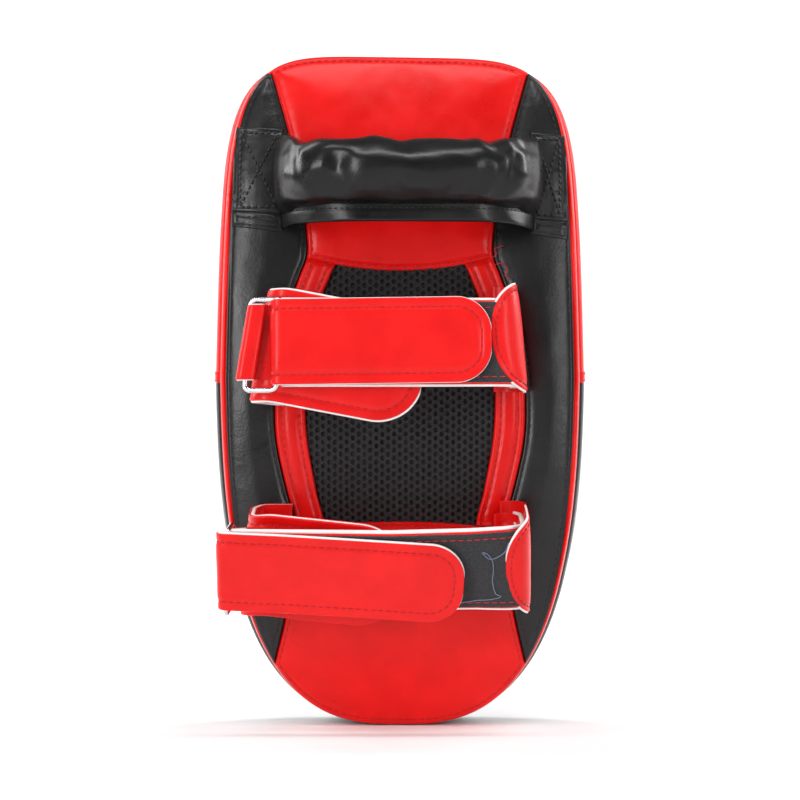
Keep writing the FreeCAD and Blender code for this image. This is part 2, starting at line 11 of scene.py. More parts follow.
import bmesh
import bpy
import numpy as np
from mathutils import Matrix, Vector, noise


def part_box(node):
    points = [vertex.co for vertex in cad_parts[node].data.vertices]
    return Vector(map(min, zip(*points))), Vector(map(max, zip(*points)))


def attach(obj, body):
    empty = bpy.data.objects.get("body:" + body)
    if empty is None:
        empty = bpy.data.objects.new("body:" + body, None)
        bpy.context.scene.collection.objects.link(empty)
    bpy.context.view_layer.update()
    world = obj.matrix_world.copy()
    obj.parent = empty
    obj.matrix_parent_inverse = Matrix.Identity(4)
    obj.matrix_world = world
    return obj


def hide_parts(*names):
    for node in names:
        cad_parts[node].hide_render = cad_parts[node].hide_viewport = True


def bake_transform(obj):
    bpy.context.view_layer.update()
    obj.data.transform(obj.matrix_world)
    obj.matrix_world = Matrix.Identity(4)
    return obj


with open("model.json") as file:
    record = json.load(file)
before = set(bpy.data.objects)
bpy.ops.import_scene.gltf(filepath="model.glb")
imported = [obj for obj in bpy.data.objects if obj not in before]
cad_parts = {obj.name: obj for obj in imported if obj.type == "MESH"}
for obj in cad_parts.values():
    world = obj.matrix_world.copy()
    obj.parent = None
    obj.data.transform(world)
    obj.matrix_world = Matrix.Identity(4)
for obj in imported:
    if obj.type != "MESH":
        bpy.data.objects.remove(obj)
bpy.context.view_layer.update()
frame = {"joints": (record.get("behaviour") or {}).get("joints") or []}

MM = 0.001
JOINTS = {joint["name"]: joint for joint in frame["joints"]}


def corner(node, which, axis):
    """One coordinate of a CAD node's box, in millimetres: which is 0 for low and 1 for high."""
    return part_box(node)[which]["xyz".index(axis)] / MM


# Sizes of the pad, from the frame where it has them

HALF_WIDTH = corner("strike_cover_upper", 1, "x")
TOP = corner("strike_cover_upper", 1, "z") - 1.6
BOTTOM = corner("strike_cover_lower", 0, "z") + 1.8
SEAM = corner("strike_cover_upper", 0, "z")
REAR_INSET = HALF_WIDTH - corner("side_gusset", 1, "x") - 1.6
REAR_END_INSET = TOP - corner("side_gusset", 1, "z")
MESH_RISE = -corner("forearm_mesh", 0, "y")
BEND = 620.0
TOP_POWER = 5.3
BOTTOM_POWER = 2.78
TAPER = 0.021
TAPER_END = 0.55
SETTLE = 2.2

STITCH = 3.0
STITCH_GAP = 1.1
THREAD = 0.34
STITCH_SHAPE = np.array([
    # share of the stitch's length, share of the thread's thickness, dip in thicknesses
    (0.0, 0.35, -1.3),
    (0.1, 0.8, -0.45),
    (0.3, 1.0, 0.0),
    (0.7, 1.0, 0.0),
    (0.9, 0.8, -0.45),
    (1.0, 0.35, -1.3),
])
STITCH_SIDES = 6

# Shape helpers


def bend(z):
    """How far the bent pad has fallen back from its crest at the height z."""
    return BEND - np.sqrt(BEND**2 - np.asarray(z, float) ** 2)


def on_back(x, z, height):
    """A place over the pad's back, the height measured towards the forearm."""
    return np.stack([x, bend(z) - height, z + 0 * height], axis=-1)


def outline(angle, inset, end_inset):
    """The pad's outline about the seam's middle: squarer above the seam than below it."""
    c, s = np.cos(angle), np.sin(angle)
    end = np.where(s >= 0, TOP - SEAM, SEAM - BOTTOM) - end_inset
    power = np.where(s >= 0, TOP_POWER, BOTTOM_POWER)
    wide = HALF_WIDTH - inset
    radius = (np.abs(c / wide) ** power + np.abs(s / end) ** power) ** (-1 / power)
    x, up = radius * c, radius * s
    narrowed = 1 - TAPER * np.clip(np.abs(up) / end / TAPER_END, 0, 1)
    return x * narrowed, SEAM + up - slump(x, up)


def slump(x, up):
    """The soft pad's right shoulder has settled a little lower than its left one."""
    return SETTLE * np.clip(up / (TOP - SEAM), 0, 1) ** 3 * np.clip((x + 70) / 140, 0, 1)


def rear_half(z, side):
    """The distance from the middle to one side of the back, at the height z."""
    turn = np.linspace(-math.pi / 2, math.pi / 2, 1500)
    x, up = outline(turn if side > 0 else math.pi - turn, REAR_INSET, REAR_END_INSET)
    return np.interp(z, up, np.abs(x))


def smooth_curve(points, count):
    """A smooth curve through the points (Catmull-Rom), as count evenly spaced points."""
    points = np.asarray(points, float)
    first, last = 2 * points[0] - points[1], 2 * points[-1] - points[-2]
    p = np.vstack([first, points, last])
    fine = []
    for i in range(len(points) - 1):
        t = np.linspace(0, 1, 24, endpoint=False)[:, None]
        a, b, c, d = p[i], p[i + 1], p[i + 2], p[i + 3]
        fine.append(
            0.5 * (2 * b + (c - a) * t + (2 * a - 5 * b + 4 * c - d) * t**2
                   + (3 * b - a - 3 * c + d) * t**3)
        )
    return evenly(np.vstack(fine + [points[-1:]]), np.linspace(0, 1, count))


def lengths(points):
    """The distance along a polyline to each of its points."""
    return np.r_[0, np.cumsum(np.linalg.norm(np.diff(points, axis=0), axis=1))]


def evenly(points, shares):
    """Points of a polyline at these shares of its length."""
    run = lengths(points)
    return np.stack(
        [np.interp(np.asarray(shares) * run[-1], run, column) for column in points.T], axis=-1
    )


def rounded(corners, radii, step=1.0):
    """A polyline whose inner corners are arcs of these radii."""
    corners = [np.asarray(c, float) for c in corners]
    line = [corners[0]]
    for before, here, after, radius in zip(corners, corners[1:], corners[2:], radii):
        back = (before - here) / np.linalg.norm(before - here)
        on = (after - here) / np.linalg.norm(after - here)
        half = 0.5 * math.acos(np.clip(np.dot(back, on), -1, 1))
        reach = radius / math.tan(half)
        centre = here + (back + on) / np.linalg.norm(back + on) * radius / math.sin(half)
        start, end = here + back * reach - centre, here + on * reach - centre
        turn = math.pi - 2 * half
        count = max(3, int(turn * radius / step))
        for t in np.linspace(0, 1, count):
            mixed = start * math.sin((1 - t) * turn) + end * math.sin(t * turn)
            line.append(centre + mixed / math.sin(turn))
    line.append(corners[-1])
    points = np.array(line)
    count = max(8, int(lengths(points)[-1] / step))
    return evenly(points, np.linspace(0, 1, count))


EDGE_STEPS = (0.0, 0.12, 0.4, 0.9, 1.6, 2.3, 2.8, 3.3, 4.2, 5.4)


def shares(length, step, edges=EDGE_STEPS, ends=(True, True)):
    """Shares from 0 to 1, close together beside the ends of that length and step apart between."""
    edge = np.array([e for e in edges if e < length * 0.45])
    low = edge if ends[0] else edge[:1]
    high = length - (edge if ends[1] else edge[:1])[::-1]
    count = max(1, int((high[0] - low[-1]) / step))
    middle = np.linspace(low[-1], high[0], count + 1)[1:-1]
    return np.concatenate([low, middle, high]) / length


def edge_distance(flat):
    """Each grid point's distance to the grid's border, and how far round the border that is."""
    border = np.concatenate([flat[0], flat[1:, -1], flat[-1, -2::-1], flat[-2:0:-1, 0]])
    start, step = border, np.roll(border, -1, axis=0) - border
    span = np.linalg.norm(step, axis=1)
    keep = span > 1e-6
    start, step, span = start[keep], step[keep], span[keep]
    run = np.r_[0, np.cumsum(span)[:-1]]
    distance = np.empty(flat.shape[:2])
    along = np.empty(flat.shape[:2])
    for i, row in enumerate(flat):
        away = row[:, None, :] - start[None]
        t = np.clip((away * step).sum(-1) / span**2, 0, 1)
        gap = np.linalg.norm(away - t[..., None] * step, axis=-1)
        best = gap.argmin(axis=1)
        pick = np.arange(len(row))
        distance[i] = gap[pick, best]
        along[i] = run[best] + t[pick, best] * span[best]
    return distance, along


def rim_gap(flat):
    """Each grid point's distance to the grid's border."""
    return edge_distance(flat)[0]


def rolled(distance, radius):
    """0 at an edge rising to 1 at the radius, along a quarter circle."""
    share = np.clip(distance / radius, 0, 1)
    return np.sqrt(1 - (1 - share) ** 2)


def groove(distance, at, width):
    """1 in the middle of a groove at that distance from the edge, and 0 away from it."""
    return np.exp(-(((distance - at) / width) ** 2))


def waves(x, z, size, seed):
    """Smooth noise from -1 to 1 over a flat layout, with swells of about that size."""
    x, z = np.broadcast_arrays(x, z)
    flat = [
        noise.noise((a / size, b / size, seed * 7.3)) for a, b in zip(x.ravel(), z.ravel())
    ]
    return np.array(flat).reshape(x.shape) * 1.6


def coons(left, right, bottom, top, us, vs):
    """A grid between four curves: rows follow vs from bottom to top, columns us from left."""
    u, v = us[None, :, None], vs[:, None, None]
    across = (1 - u) * left[:, None] + u * right[:, None]
    up = (1 - v) * bottom[None] + v * top[None]
    corners = (
        (1 - u) * (1 - v) * bottom[0] + u * (1 - v) * bottom[-1]
        + (1 - u) * v * top[0] + u * v * top[-1]
    )
    return across + up - corners


def between(left, right, us):
    """A grid of flat points between two lines of them, at those shares of the way across."""
    u = us[None, :, None]
    return left[:, None] * (1 - u) + right[:, None] * u


def straight(start, end, across, count=400):
    """A line along a flat layout, at that place across it."""
    return np.stack([np.linspace(start, end, count), np.full(count, across)], -1)


# Pieces


def finish_mesh(name, vertices, faces):
    """A mesh object from millimetre vertices, its doubled points joined and its faces outward."""
    mesh = bpy.data.meshes.new(name)
    mesh.from_pydata((np.asarray(vertices) * MM).tolist(), [], faces)
    work = bmesh.new()
    work.from_mesh(mesh)
    bmesh.ops.remove_doubles(work, verts=work.verts, dist=1e-6)
    bmesh.ops.dissolve_degenerate(work, edges=work.edges, dist=1e-7)
    bmesh.ops.recalc_face_normals(work, faces=work.faces)
    work.to_mesh(mesh)
    work.free()
    mesh.polygons.foreach_set("use_smooth", [True] * len(mesh.polygons))
    piece = bpy.data.objects.new(name, mesh)
    bpy.context.scene.collection.objects.link(piece)
    return piece


def dress(piece, material, slot, nodes=(), body=None, joined=None, fill=None):
    """Gives a piece its material and hides the CAD parts it stands in for; a joined piece has its
    transform baked, any other is parented to its body's empty. The slot is not used.
    """
    piece.data.materials.clear()
    piece.data.materials.append(MATERIALS[material])
    if nodes:
        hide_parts(*nodes)
    if joined:
        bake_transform(piece)
    else:
        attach(piece, body or "pad")


def grid_faces(rows, columns, offset=0, closed=False):
    """The quads of a grid whose points run along its rows; closed joins its last column round."""
    faces = []
    for i in range(rows - 1):
        for j in range(columns if closed else columns - 1):
            k = (j + 1) % columns
            a, b = i * columns, (i + 1) * columns
            faces.append((offset + a + j, offset + a + k, offset + b + k, offset + b + j))
    return faces


class Slab:
    """A flat grid with a front and a back height, placed in space as one closed piece."""

    def __init__(self, flat, place, front, back):
        self.flat, self.place = flat, place
        self.front = np.broadcast_to(front, flat.shape[:2])
        self.back = np.broadcast_to(back, flat.shape[:2])

    def mesh(self, name):
        """The piece: its front, its back and the wall that joins them round the border."""
        rows, columns = self.flat.shape[:2]
        u, v = self.flat[..., 0], self.flat[..., 1]
        front = self.place(u, v, self.front).reshape(-1, 3)
        back = self.place(u, v, self.back).reshape(-1, 3)
        size = rows * columns
        faces = grid_faces(rows, columns)
        faces += [tuple(reversed(f)) for f in grid_faces(rows, columns, size)]
        index = np.arange(size).reshape(rows, columns)
        border = np.concatenate(
            [index[0], index[1:, -1], index[-1, -2::-1], index[-2:0:-1, 0]]
        ).tolist()
        for a, b in zip(border, border[1:] + border[:1]):
            faces.append((b, a, a + size, b + size))
        return finish_mesh(name, np.vstack([front, back]), faces)

    def height(self, points):
        """The front's height nearest to each flat point."""
        flat = self.flat.reshape(-1, 2)
        heights = self.front.ravel()
        found = []
        for point in np.asarray(points).reshape(-1, 2):
            gap = ((flat - point) ** 2).sum(1)
            near = np.argpartition(gap, 5)[:5]
            found.append(np.average(heights[near], weights=1 / (gap[near] + 0.1)))
        return np.array(found)


def circles(first, second, sides):
    """Unit circles at the points of a line, each in the plane of its two directions."""
    angle = np.linspace(0, 2 * math.pi, sides, endpoint=False)[None, :, None]
    return np.cos(angle) * first[:, None] + np.sin(angle) * second[:, None]


def tube(name, points, radius, sides, closed=False):
    """A round tube along points in millimetres, capped at its ends or closed into a ring."""
    points = np.asarray(points, float)
    count = len(points)
    if closed:
        tangent = np.roll(points, -1, axis=0) - np.roll(points, 1, axis=0)
    else:
        tangent = np.gradient(points, axis=0)
    tangent /= np.linalg.norm(tangent, axis=1)[:, None]
    # a direction that no tube here runs along
    side = np.cross(tangent, np.array([0.03, -1.0, 0.02]))
    side /= np.linalg.norm(side, axis=1)[:, None]
    ring = circles(side, np.cross(side, tangent), sides)
    vertices = (points[:, None] + ring * radius).reshape(-1, 3)
    faces = grid_faces(count, sides, closed=True)
    if closed:
        last = (count - 1) * sides
        faces += [(last + j, last + (j + 1) % sides, (j + 1) % sides, j) for j in range(sides)]
    else:
        faces += [tuple(range(sides))[::-1], tuple(range((count - 1) * sides, count * sides))]
    return finish_mesh(name, vertices, faces)


def stitch_run(name, runs, thread, slot, length=STITCH, gap=STITCH_GAP, thick=THREAD, **moves):
    """Rows of stitches: each run is a flat line, its slab, and how high the thread lies."""
    stations, widths, dips = STITCH_SHAPE.T
    vertices, faces = [], []
    for line, slab, lift in runs:
        run = lengths(line)
        for start in np.arange(0.3, run[-1] - length, length + gap):
            at = start + stations * length
            points = np.stack([np.interp(at, run, column) for column in line.T], axis=-1)
            height = slab.height(points[2:4]).mean() + lift + dips * thick
            centre = slab.place(points[:, 0], points[:, 1], height)
            above = slab.place(points[:, 0], points[:, 1], height + 1)
            up = above - centre
            along = np.gradient(centre, axis=0)
            side = np.cross(along, up)
            side /= np.linalg.norm(side, axis=1)[:, None]
            ring = circles(side, up, STITCH_SIDES)
            first = len(vertices) * STITCH_SIDES * len(stations)
            around = centre[:, None] + ring * (widths * thick)[:, None, None]
            vertices.append(around.reshape(-1, 3))
            faces += grid_faces(len(stations), STITCH_SIDES, first, closed=True)
            end = first + STITCH_SIDES * (len(stations) - 1)
            faces.append(tuple(range(first, first + STITCH_SIDES))[::-1])
            faces.append(tuple(range(end, end + STITCH_SIDES)))
    piece = finish_mesh(name, np.vstack(vertices), faces)
    dress(piece, thread, slot, **moves)


CLOTH_FRAMES = 20
CLOTH_STIFFNESS = 12.0


def inflate(piece, pinned, pressure, cap, swell):
    """Cloth simulation: the piece swells under pressure, by at most the cap, held where pinned."""
    mesh = piece.data
    rest = np.array([v.co for v in mesh.vertices])
    group = piece.vertex_groups.new(name="pinned")
    group.add([int(i) for i in np.flatnonzero(pinned)], 1.0, "REPLACE")
    modifier = piece.modifiers.new("swell", "CLOTH")
    cloth = modifier.settings
    cloth.quality = 5
    cloth.mass = 0.25
    cloth.air_damping = 2.0
    cloth.tension_stiffness = CLOTH_STIFFNESS
    cloth.compression_stiffness = CLOTH_STIFFNESS
    cloth.shear_stiffness = 4.0
    cloth.bending_stiffness = 0.4
    cloth.use_pressure = True
    cloth.uniform_pressure_force = pressure
    cloth.shrink_min = -swell
    cloth.vertex_group_mass = group.name
    cloth.effector_weights.gravity = 0.0
    modifier.point_cache.frame_start = 1
    modifier.point_cache.frame_end = CLOTH_FRAMES
    scene = bpy.context.scene
    for number in range(1, CLOTH_FRAMES + 1):
        scene.frame_set(number)
    shaped = piece.evaluated_get(bpy.context.evaluated_depsgraph_get())
    moved = np.array([v.co for v in shaped.data.vertices])
    piece.modifiers.clear()
    piece.vertex_groups.clear()
    scene.frame_set(1)
    step = moved - rest
    size = np.linalg.norm(step, axis=1)[:, None]
    step *= np.minimum(1, cap * MM / np.maximum(size, 1e-9))
    mesh.vertices.foreach_set("co", (rest + step).ravel())
    mesh.update()


def places(piece):
    """The vertices of a piece, in millimetres."""
    return np.array([vertex.co for vertex in piece.data.vertices]) / MM


def apply_modifiers(piece):
    """Bakes a piece's modifiers into its mesh."""
    graph = bpy.context.evaluated_depsgraph_get()
    mesh = bpy.data.meshes.new_from_object(piece.evaluated_get(graph))
    old = piece.data
    piece.modifiers.clear()
    piece.data = mesh
    bpy.data.meshes.remove(old)
    mesh.polygons.foreach_set("use_smooth", [True] * len(mesh.polygons))


def thicken(piece, thickness):
    """Gives an open surface a thickness, inwards."""
    skin = piece.modifiers.new("skin", "SOLIDIFY")
    skin.thickness = thickness * MM
    skin.offset = -1
    apply_modifiers(piece)


# Materials


class Paint:
    """A node material being built round one Principled shader."""

    def __init__(self, name):
        self.material = bpy.data.materials.new(name)
        self.material.use_nodes = True
        self.nodes = self.material.node_tree.nodes
        self.links = self.material.node_tree.links
        self.shader = self.nodes["Principled BSDF"]
        self.place = self.nodes.new("ShaderNodeTexCoord").outputs["Object"]

    def set(self, **values):
        """Plain values for the shader's inputs."""
        for key, value in values.items():
            self.shader.inputs[key.replace("_", " ")].default_value = value

    def noise(self, scale, detail=3.0, roughness=0.55, stretch=None):
        node = self.nodes.new("ShaderNodeTexNoise")
        node.inputs["Scale"].default_value = scale
        node.inputs["Detail"].default_value = detail
        node.inputs["Roughness"].default_value = roughness
        self.links.new(self.stretched(stretch), node.inputs["Vector"])
        return node.outputs["Fac"]

    def cells(self, scale):
        node = self.nodes.new("ShaderNodeTexVoronoi")
        node.inputs["Scale"].default_value = scale
        self.links.new(self.place, node.inputs["Vector"])
        return node.outputs["Distance"]

    def stretched(self, stretch):
        if stretch is None:
            return self.place
        node = self.nodes.new("ShaderNodeMapping")
        node.inputs["Scale"].default_value = stretch
        self.links.new(self.place, node.inputs["Vector"])
        return node.outputs["Vector"]

    def span(self, value, low, high, to_low=0.0, to_high=1.0):
        """A value stretched from one range to another and held within it."""
        node = self.nodes.new("ShaderNodeMapRange")
        for key, number in zip(("From Min", "From Max", "To Min", "To Max"),
                               (low, high, to_low, to_high)):
            node.inputs[key].default_value = number
        self.links.new(value, node.inputs["Value"])
        return node.outputs["Result"]

    def mix(self, share, first, second):
        """A colour between two, each a plain colour or a node's output."""
        node = self.nodes.new("ShaderNodeMix")
        node.data_type = "RGBA"
        self.links.new(share, node.inputs["Factor"])
        for socket, value in ((node.inputs[6], first), (node.inputs[7], second)):
            if isinstance(value, bpy.types.NodeSocket):
                self.links.new(value, socket)
            else:
                socket.default_value = (*value, 1.0)
        return node.outputs[2]

    def add(self, first, second, weight):
        """The first value plus the second one times the weight."""
        node = self.nodes.new("ShaderNodeMath")
        node.operation = "MULTIPLY_ADD"
        self.links.new(second, node.inputs[0])
        node.inputs[1].default_value = weight
        self.links.new(first, node.inputs[2])
        return node.outputs["Value"]

    def bumps(self, height, strength, distance):
        node = self.nodes.new("ShaderNodeBump")
        node.inputs["Strength"].default_value = strength
        node.inputs["Distance"].default_value = distance
        self.links.new(height, node.inputs["Height"])
        self.links.new(node.outputs["Normal"], self.shader.inputs["Normal"])

    def colour(self, value):
        self.links.new(value, self.shader.inputs["Base Color"])

    def rough(self, value):
        self.links.new(value, self.shader.inputs["Roughness"])


def leather(name, colour, deep, worn, rough, grain, gloss, strength):
    """Coated PU: a fine pebble grain, soft cloudy colour and paler rubbed edges."""
    paint = Paint(name)
    pebble = paint.cells(grain)
    creases = paint.noise(grain * 0.45, detail=4.0)
    cloud = paint.noise(38.0, detail=4.0)
    rubbed = paint.nodes.new("ShaderNodeNewGeometry").outputs["Pointiness"]
    base = paint.mix(paint.span(cloud, 0.35, 0.68), deep, colour)
    paint.colour(paint.mix(paint.span(rubbed, 0.53, 0.6, 0.0, 0.5), base, worn))
    paint.rough(paint.span(paint.add(cloud, creases, 0.5), 0.5, 1.0, *rough))
    paint.bumps(paint.add(creases, pebble, -0.9), strength, 0.0002)
    paint.set(Specular_IOR_Level=gloss)
    return paint.material


def foam(name, colour, shade):
    """Cut foam: matte, finely pitted."""
    paint = Paint(name)
    pits = paint.cells(2200.0)
    cloud = paint.noise(120.0)
    paint.colour(paint.mix(paint.span(cloud, 0.3, 0.7), colour, shade))
    paint.rough(paint.span(cloud, 0.3, 0.7, 0.75, 0.92))
    paint.bumps(pits, 0.5, 0.0002)
    return paint.material


def cloth(name, colour, fleck, scale, stretch, sheen, strength):
    """Woven, knitted or brushed fabric with a thread direction."""
    paint = Paint(name)
    threads = paint.noise(scale, detail=5.0, roughness=0.7, stretch=stretch)
    fuzz = paint.noise(scale * 2.5, detail=2.0)
    paint.colour(paint.mix(paint.span(threads, 0.42, 0.75), colour, fleck))
    paint.rough(paint.span(fuzz, 0.3, 0.7, 0.7, 0.95))
    paint.bumps(paint.add(threads, fuzz, 0.5), strength, 0.0003)
    paint.set(Sheen_Weight=sheen, Sheen_Roughness=0.4)
    return paint.material


def thread(name, colour, shade):
    """Twisted sewing thread."""
    paint = Paint(name)
    twist = paint.noise(2600.0, detail=2.0, stretch=(1.0, 1.0, 2.5))
    paint.colour(paint.mix(paint.span(twist, 0.35, 0.65), shade, colour))
    paint.rough(paint.span(twist, 0.3, 0.7, 0.45, 0.65))
    paint.bumps(twist, 0.5, 0.0002)
    return paint.material


def chrome(name):
    """Plated wire with faint scuffs."""
    paint = Paint(name)
    scuffs = paint.noise(900.0, detail=5.0, stretch=(1.0, 1.0, 0.08))
    cloud = paint.noise(150.0)
    paint.colour(paint.mix(paint.span(cloud, 0.3, 0.7), (0.62, 0.62, 0.64), (0.8, 0.8, 0.82)))
    paint.rough(paint.span(scuffs, 0.35, 0.75, 0.08, 0.3))
    paint.bumps(scuffs, 0.1, 0.00005)
    paint.set(Metallic=1.0)
    return paint.material


MATERIALS = {
    "red": leather("red_pu", (0.78, 0.006, 0.005), (0.66, 0.004, 0.003), (0.84, 0.014, 0.012),
                   rough=(0.27, 0.38), grain=900.0, gloss=0.24, strength=0.14),
    "strap": leather("strap_pu", (0.79, 0.009, 0.009), (0.69, 0.006, 0.006), (0.86, 0.025, 0.025),
                     rough=(0.27, 0.38), grain=1100.0, gloss=0.26, strength=0.12),
    "black": leather("black_pu", (0.007, 0.007, 0.008), (0.004, 0.004, 0.005),
                     (0.013, 0.013, 0.014), rough=(0.27, 0.4), grain=700.0, gloss=0.42,
                     strength=0.28),
    # grip: the same black PU as the panels with a darker base colour, painted shade for the handle
    "grip": leather("grip_pu_painted_shade", (0.004, 0.004, 0.0045), (0.002, 0.002, 0.0025),
                    (0.008, 0.008, 0.008), rough=(0.26, 0.36), grain=850.0, gloss=0.36,
                    strength=0.16),
    "white": foam("white_foam", (0.86, 0.85, 0.84), (0.74, 0.73, 0.72)),
    "core": foam("core_foam", (0.2, 0.2, 0.21), (0.14, 0.14, 0.15)),
    "soft": foam("strike_foam", (0.68, 0.66, 0.58), (0.58, 0.56, 0.5)),
    "board": foam("board_foam", (0.1, 0.1, 0.11), (0.06, 0.06, 0.07)),
    "sponge": foam("dark_sponge", (0.012, 0.012, 0.013), (0.006, 0.006, 0.007)),
    "air_mesh": cloth("air_mesh", (0.008, 0.008, 0.009), (0.024, 0.024, 0.026), 900.0,
                      (1.0, 1.0, 2.2), sheen=0.08, strength=0.6),
    "loop": cloth("loop_fabric", (0.012, 0.012, 0.014), (0.05, 0.05, 0.055), 1500.0,
                  (1.0, 1.0, 1.0), sheen=0.5, strength=1.0),
    "hook": cloth("hook_fabric", (0.02, 0.02, 0.022), (0.05, 0.05, 0.055), 2200.0,
                  (1.0, 1.0, 1.0), sheen=0.25, strength=1.0),
    "red_thread": thread("red_thread", (0.56, 0.004, 0.008), (0.38, 0.003, 0.005)),
    "black_thread": thread("black_thread", (0.012, 0.012, 0.013), (0.004, 0.004, 0.005)),
    "grey_thread": thread("grey_thread", (0.2, 0.24, 0.34), (0.1, 0.12, 0.2)),
    "chrome": chrome("chrome"),
}

# The stage and the camera

CAMERA_DISTANCE = 1.5
AIM_HEIGHT = -0.0057
LENS = 120.4
BACKDROP = 0.86
FLOOR_REACH = 2600.0
FLOOR_CURVE = 900.0
WALL_TOP = 1500.0
FLOOR_SIDES = 64
ROOM_LIGHT = 0.24


def camera():
    """Level with the pad's middle and square to its back, as the photo was taken."""
    data = bpy.data.cameras.new("camera")
    data.lens = LENS
    data.clip_end = 50.0
    eye = bpy.data.objects.new("camera", data)
    eye.location = (0.0, -CAMERA_DISTANCE, AIM_HEIGHT)
    eye.rotation_euler = (math.pi / 2, 0.0, 0.0)
    bpy.context.scene.collection.objects.link(eye)
    bpy.context.scene.camera = eye


def softbox(name, place, size, power, aim=(0.0, 0.03, 0.0)):
    """A rectangular studio light, aimed at the pad or at the backdrop."""
    data = bpy.data.lights.new(name, "AREA")
    data.shape = "RECTANGLE"
    data.size, data.size_y = size
    data.energy = power
    lamp = bpy.data.objects.new(name, data)
    lamp.location = place
    target = np.array(aim) - np.array(place)
    away = math.hypot(target[0], target[1])
    lamp.rotation_euler = (
        math.pi / 2 + math.atan2(target[2], away), 0.0, math.atan2(-target[0], target[1])
    )
    bpy.context.scene.collection.objects.link(lamp)


def stage():
    """A pale floor that curves up into a backdrop on every side."""
    across = np.linspace(0, 2 * math.pi, FLOOR_SIDES, endpoint=False)
    profile = [(reach, 0.0) for reach in (0.0, 700.0, 1500.0, FLOOR_REACH)]
    profile += [
        (FLOOR_REACH + FLOOR_CURVE * math.sin(a), FLOOR_CURVE * (1 - math.cos(a)))
        for a in np.linspace(0, math.pi / 2, 10)[1:]
    ]
    profile.append((FLOOR_REACH + FLOOR_CURVE, WALL_TOP))
    vertices = [
        (r * math.cos(a), r * math.sin(a), BOTTOM + rise) for r, rise in profile for a in across
    ]
    ground = finish_mesh("floor", vertices, grid_faces(len(profile), FLOOR_SIDES, closed=True))
    paint = Paint("floor")
    paint.colour(paint.mix(paint.noise(3.0), (BACKDROP,) * 3, (BACKDROP - 0.01,) * 3))
    paint.set(Roughness=0.9, Specular_IOR_Level=0.1)
    ground.data.materials.append(paint.material)


def light():
    """Plain soft studio light: key, fill and top lights on the pad, and two on the backdrop."""
    world = bpy.data.worlds.new("room")
    world.use_nodes = True
    room = world.node_tree.nodes["Background"].inputs
    room["Color"].default_value = (1.0, 1.0, 1.0, 1.0)
    room["Strength"].default_value = ROOM_LIGHT
    bpy.context.scene.world = world
    softbox("key", (-1.12, -1.3, 0.35), (0.3, 1.1), 14.5)
    softbox("fill", (1.22, -1.22, 0.25), (0.26, 1.1), 7.5)
    softbox("top", (0.0, -0.62, 1.4), (1.3, 0.28), 14.3, aim=(0.0, -0.6, 0.0))
    for name, x in (("left_wall", -1.3), ("right_wall", 1.3)):
        softbox(name, (x, 0.7, 0.9), (1.4, 1.4), 48.0, aim=(0.0, 2.6, -0.1))
    bpy.context.scene.view_settings.view_transform = "Standard"


# The pad's sides and strike face

WALL = [
    # inset at the sides, inset at the ends, depth
    (8.0, 4.0, 14.5),
    (5.2, 2.0, 12.6),
    (3.7, 1.4, 12.5),
    (2.5, 0.9, 13.1),
    (1.2, 0.5, 15.5),
    (0.4, 0.2, 20.0),
    (0.0, 0.0, 27.0),
    (0.3, 0.3, 34.0),
    (1.4, 1.4, 40.0),
    (3.8, 3.8, 45.0),
    (7.5, 7.5, 48.3),
    (13.0, 13.0, 50.2),
]
WELT = [
    (12.0, 8.0, 3.5),
    (8.3, 4.2, 2.2),
    (6.5, 2.4, 0.6),
    (5.7, 1.7, 0.2),
    (5.1, 1.3, 0.8),
    (4.6, 1.1, 2.0),
    (4.1, 0.9, 4.2),
    (3.8, 0.7, 6.6),
    (3.7, 0.6, 8.8),
    (4.2, 0.9, 10.8),
    (5.4, 1.8, 12.0),
    (8.5, 4.5, 12.6),
]
FACE_CROWN = 1.2
FACE_RINGS = (0.94, 0.88, 0.74, 0.58, 0.4, 0.22, 0.1, 0.036, 0.03)
FOAM_ROUND = 6.0


def wall_rings(profile, angle, count, face):
    """The rings of a wall: rows of (x, depth, z) along the profile, closed over the face."""
    rows = []
    for side, end, depth in smooth_curve(profile, count):
        x, z = outline(angle, side, end)
        rows.append(np.stack([x, depth + 0 * x, z], axis=-1))
    if face:
        x, z = rows[-1][:, 0], rows[-1][:, 2]
        edge_depth = profile[-1][2]
        for left in FACE_RINGS:
            depth = edge_depth + FACE_CROWN * (1 - left ** 2)
            rows.append(np.stack([x * left, depth + 0 * x, SEAM + (z - SEAM) * left ** 1.5], -1))
    return np.array(rows)


def place_wall(rows):
    """Bends flat wall points round with the pad."""
    placed = rows.copy()
    placed[..., 1] += bend(rows[..., 2])
    return placed


def strike_cover():
    """The red upper and black lower covers, with soft swells, meeting at the seam."""
    for name, first, material, seed in (("upper", 0.0, "red", 3), ("lower", math.pi, "black", 5)):
        angle = first + np.linspace(0, math.pi, 181)
        rows = wall_rings(WALL, angle, 34, True)
        swell = 0.5 * waves(rows[..., 0] + rows[..., 1], rows[..., 2], 34.0, seed)
        rows[..., 1] += swell * np.clip((rows[..., 1] - 20) / 20, 0, 1)
        vertices = place_wall(rows).reshape(-1, 3)
        faces = grid_faces(len(rows), len(angle))
        piece = finish_mesh(f"cover_{name}", vertices, faces)
        thicken(piece, 1.1)
        dress(piece, material, f"{material}_pu", [f"strike_cover_{name}"], fill=0.9)


def seam_line():
    """The middle line of the cover's seam, from the left gusset over the face to the right."""
    side = wall_rings(WALL, np.array([math.pi]), 40, True)[3:, 0]
    other = wall_rings(WALL, np.array([0.0]), 40, True)[3:-1, 0][::-1]
    line = np.vstack([side, other])
    return evenly(line, np.linspace(0, 1, 260))


HEM_HALF = 3.4
HEM_RISE = 1.5


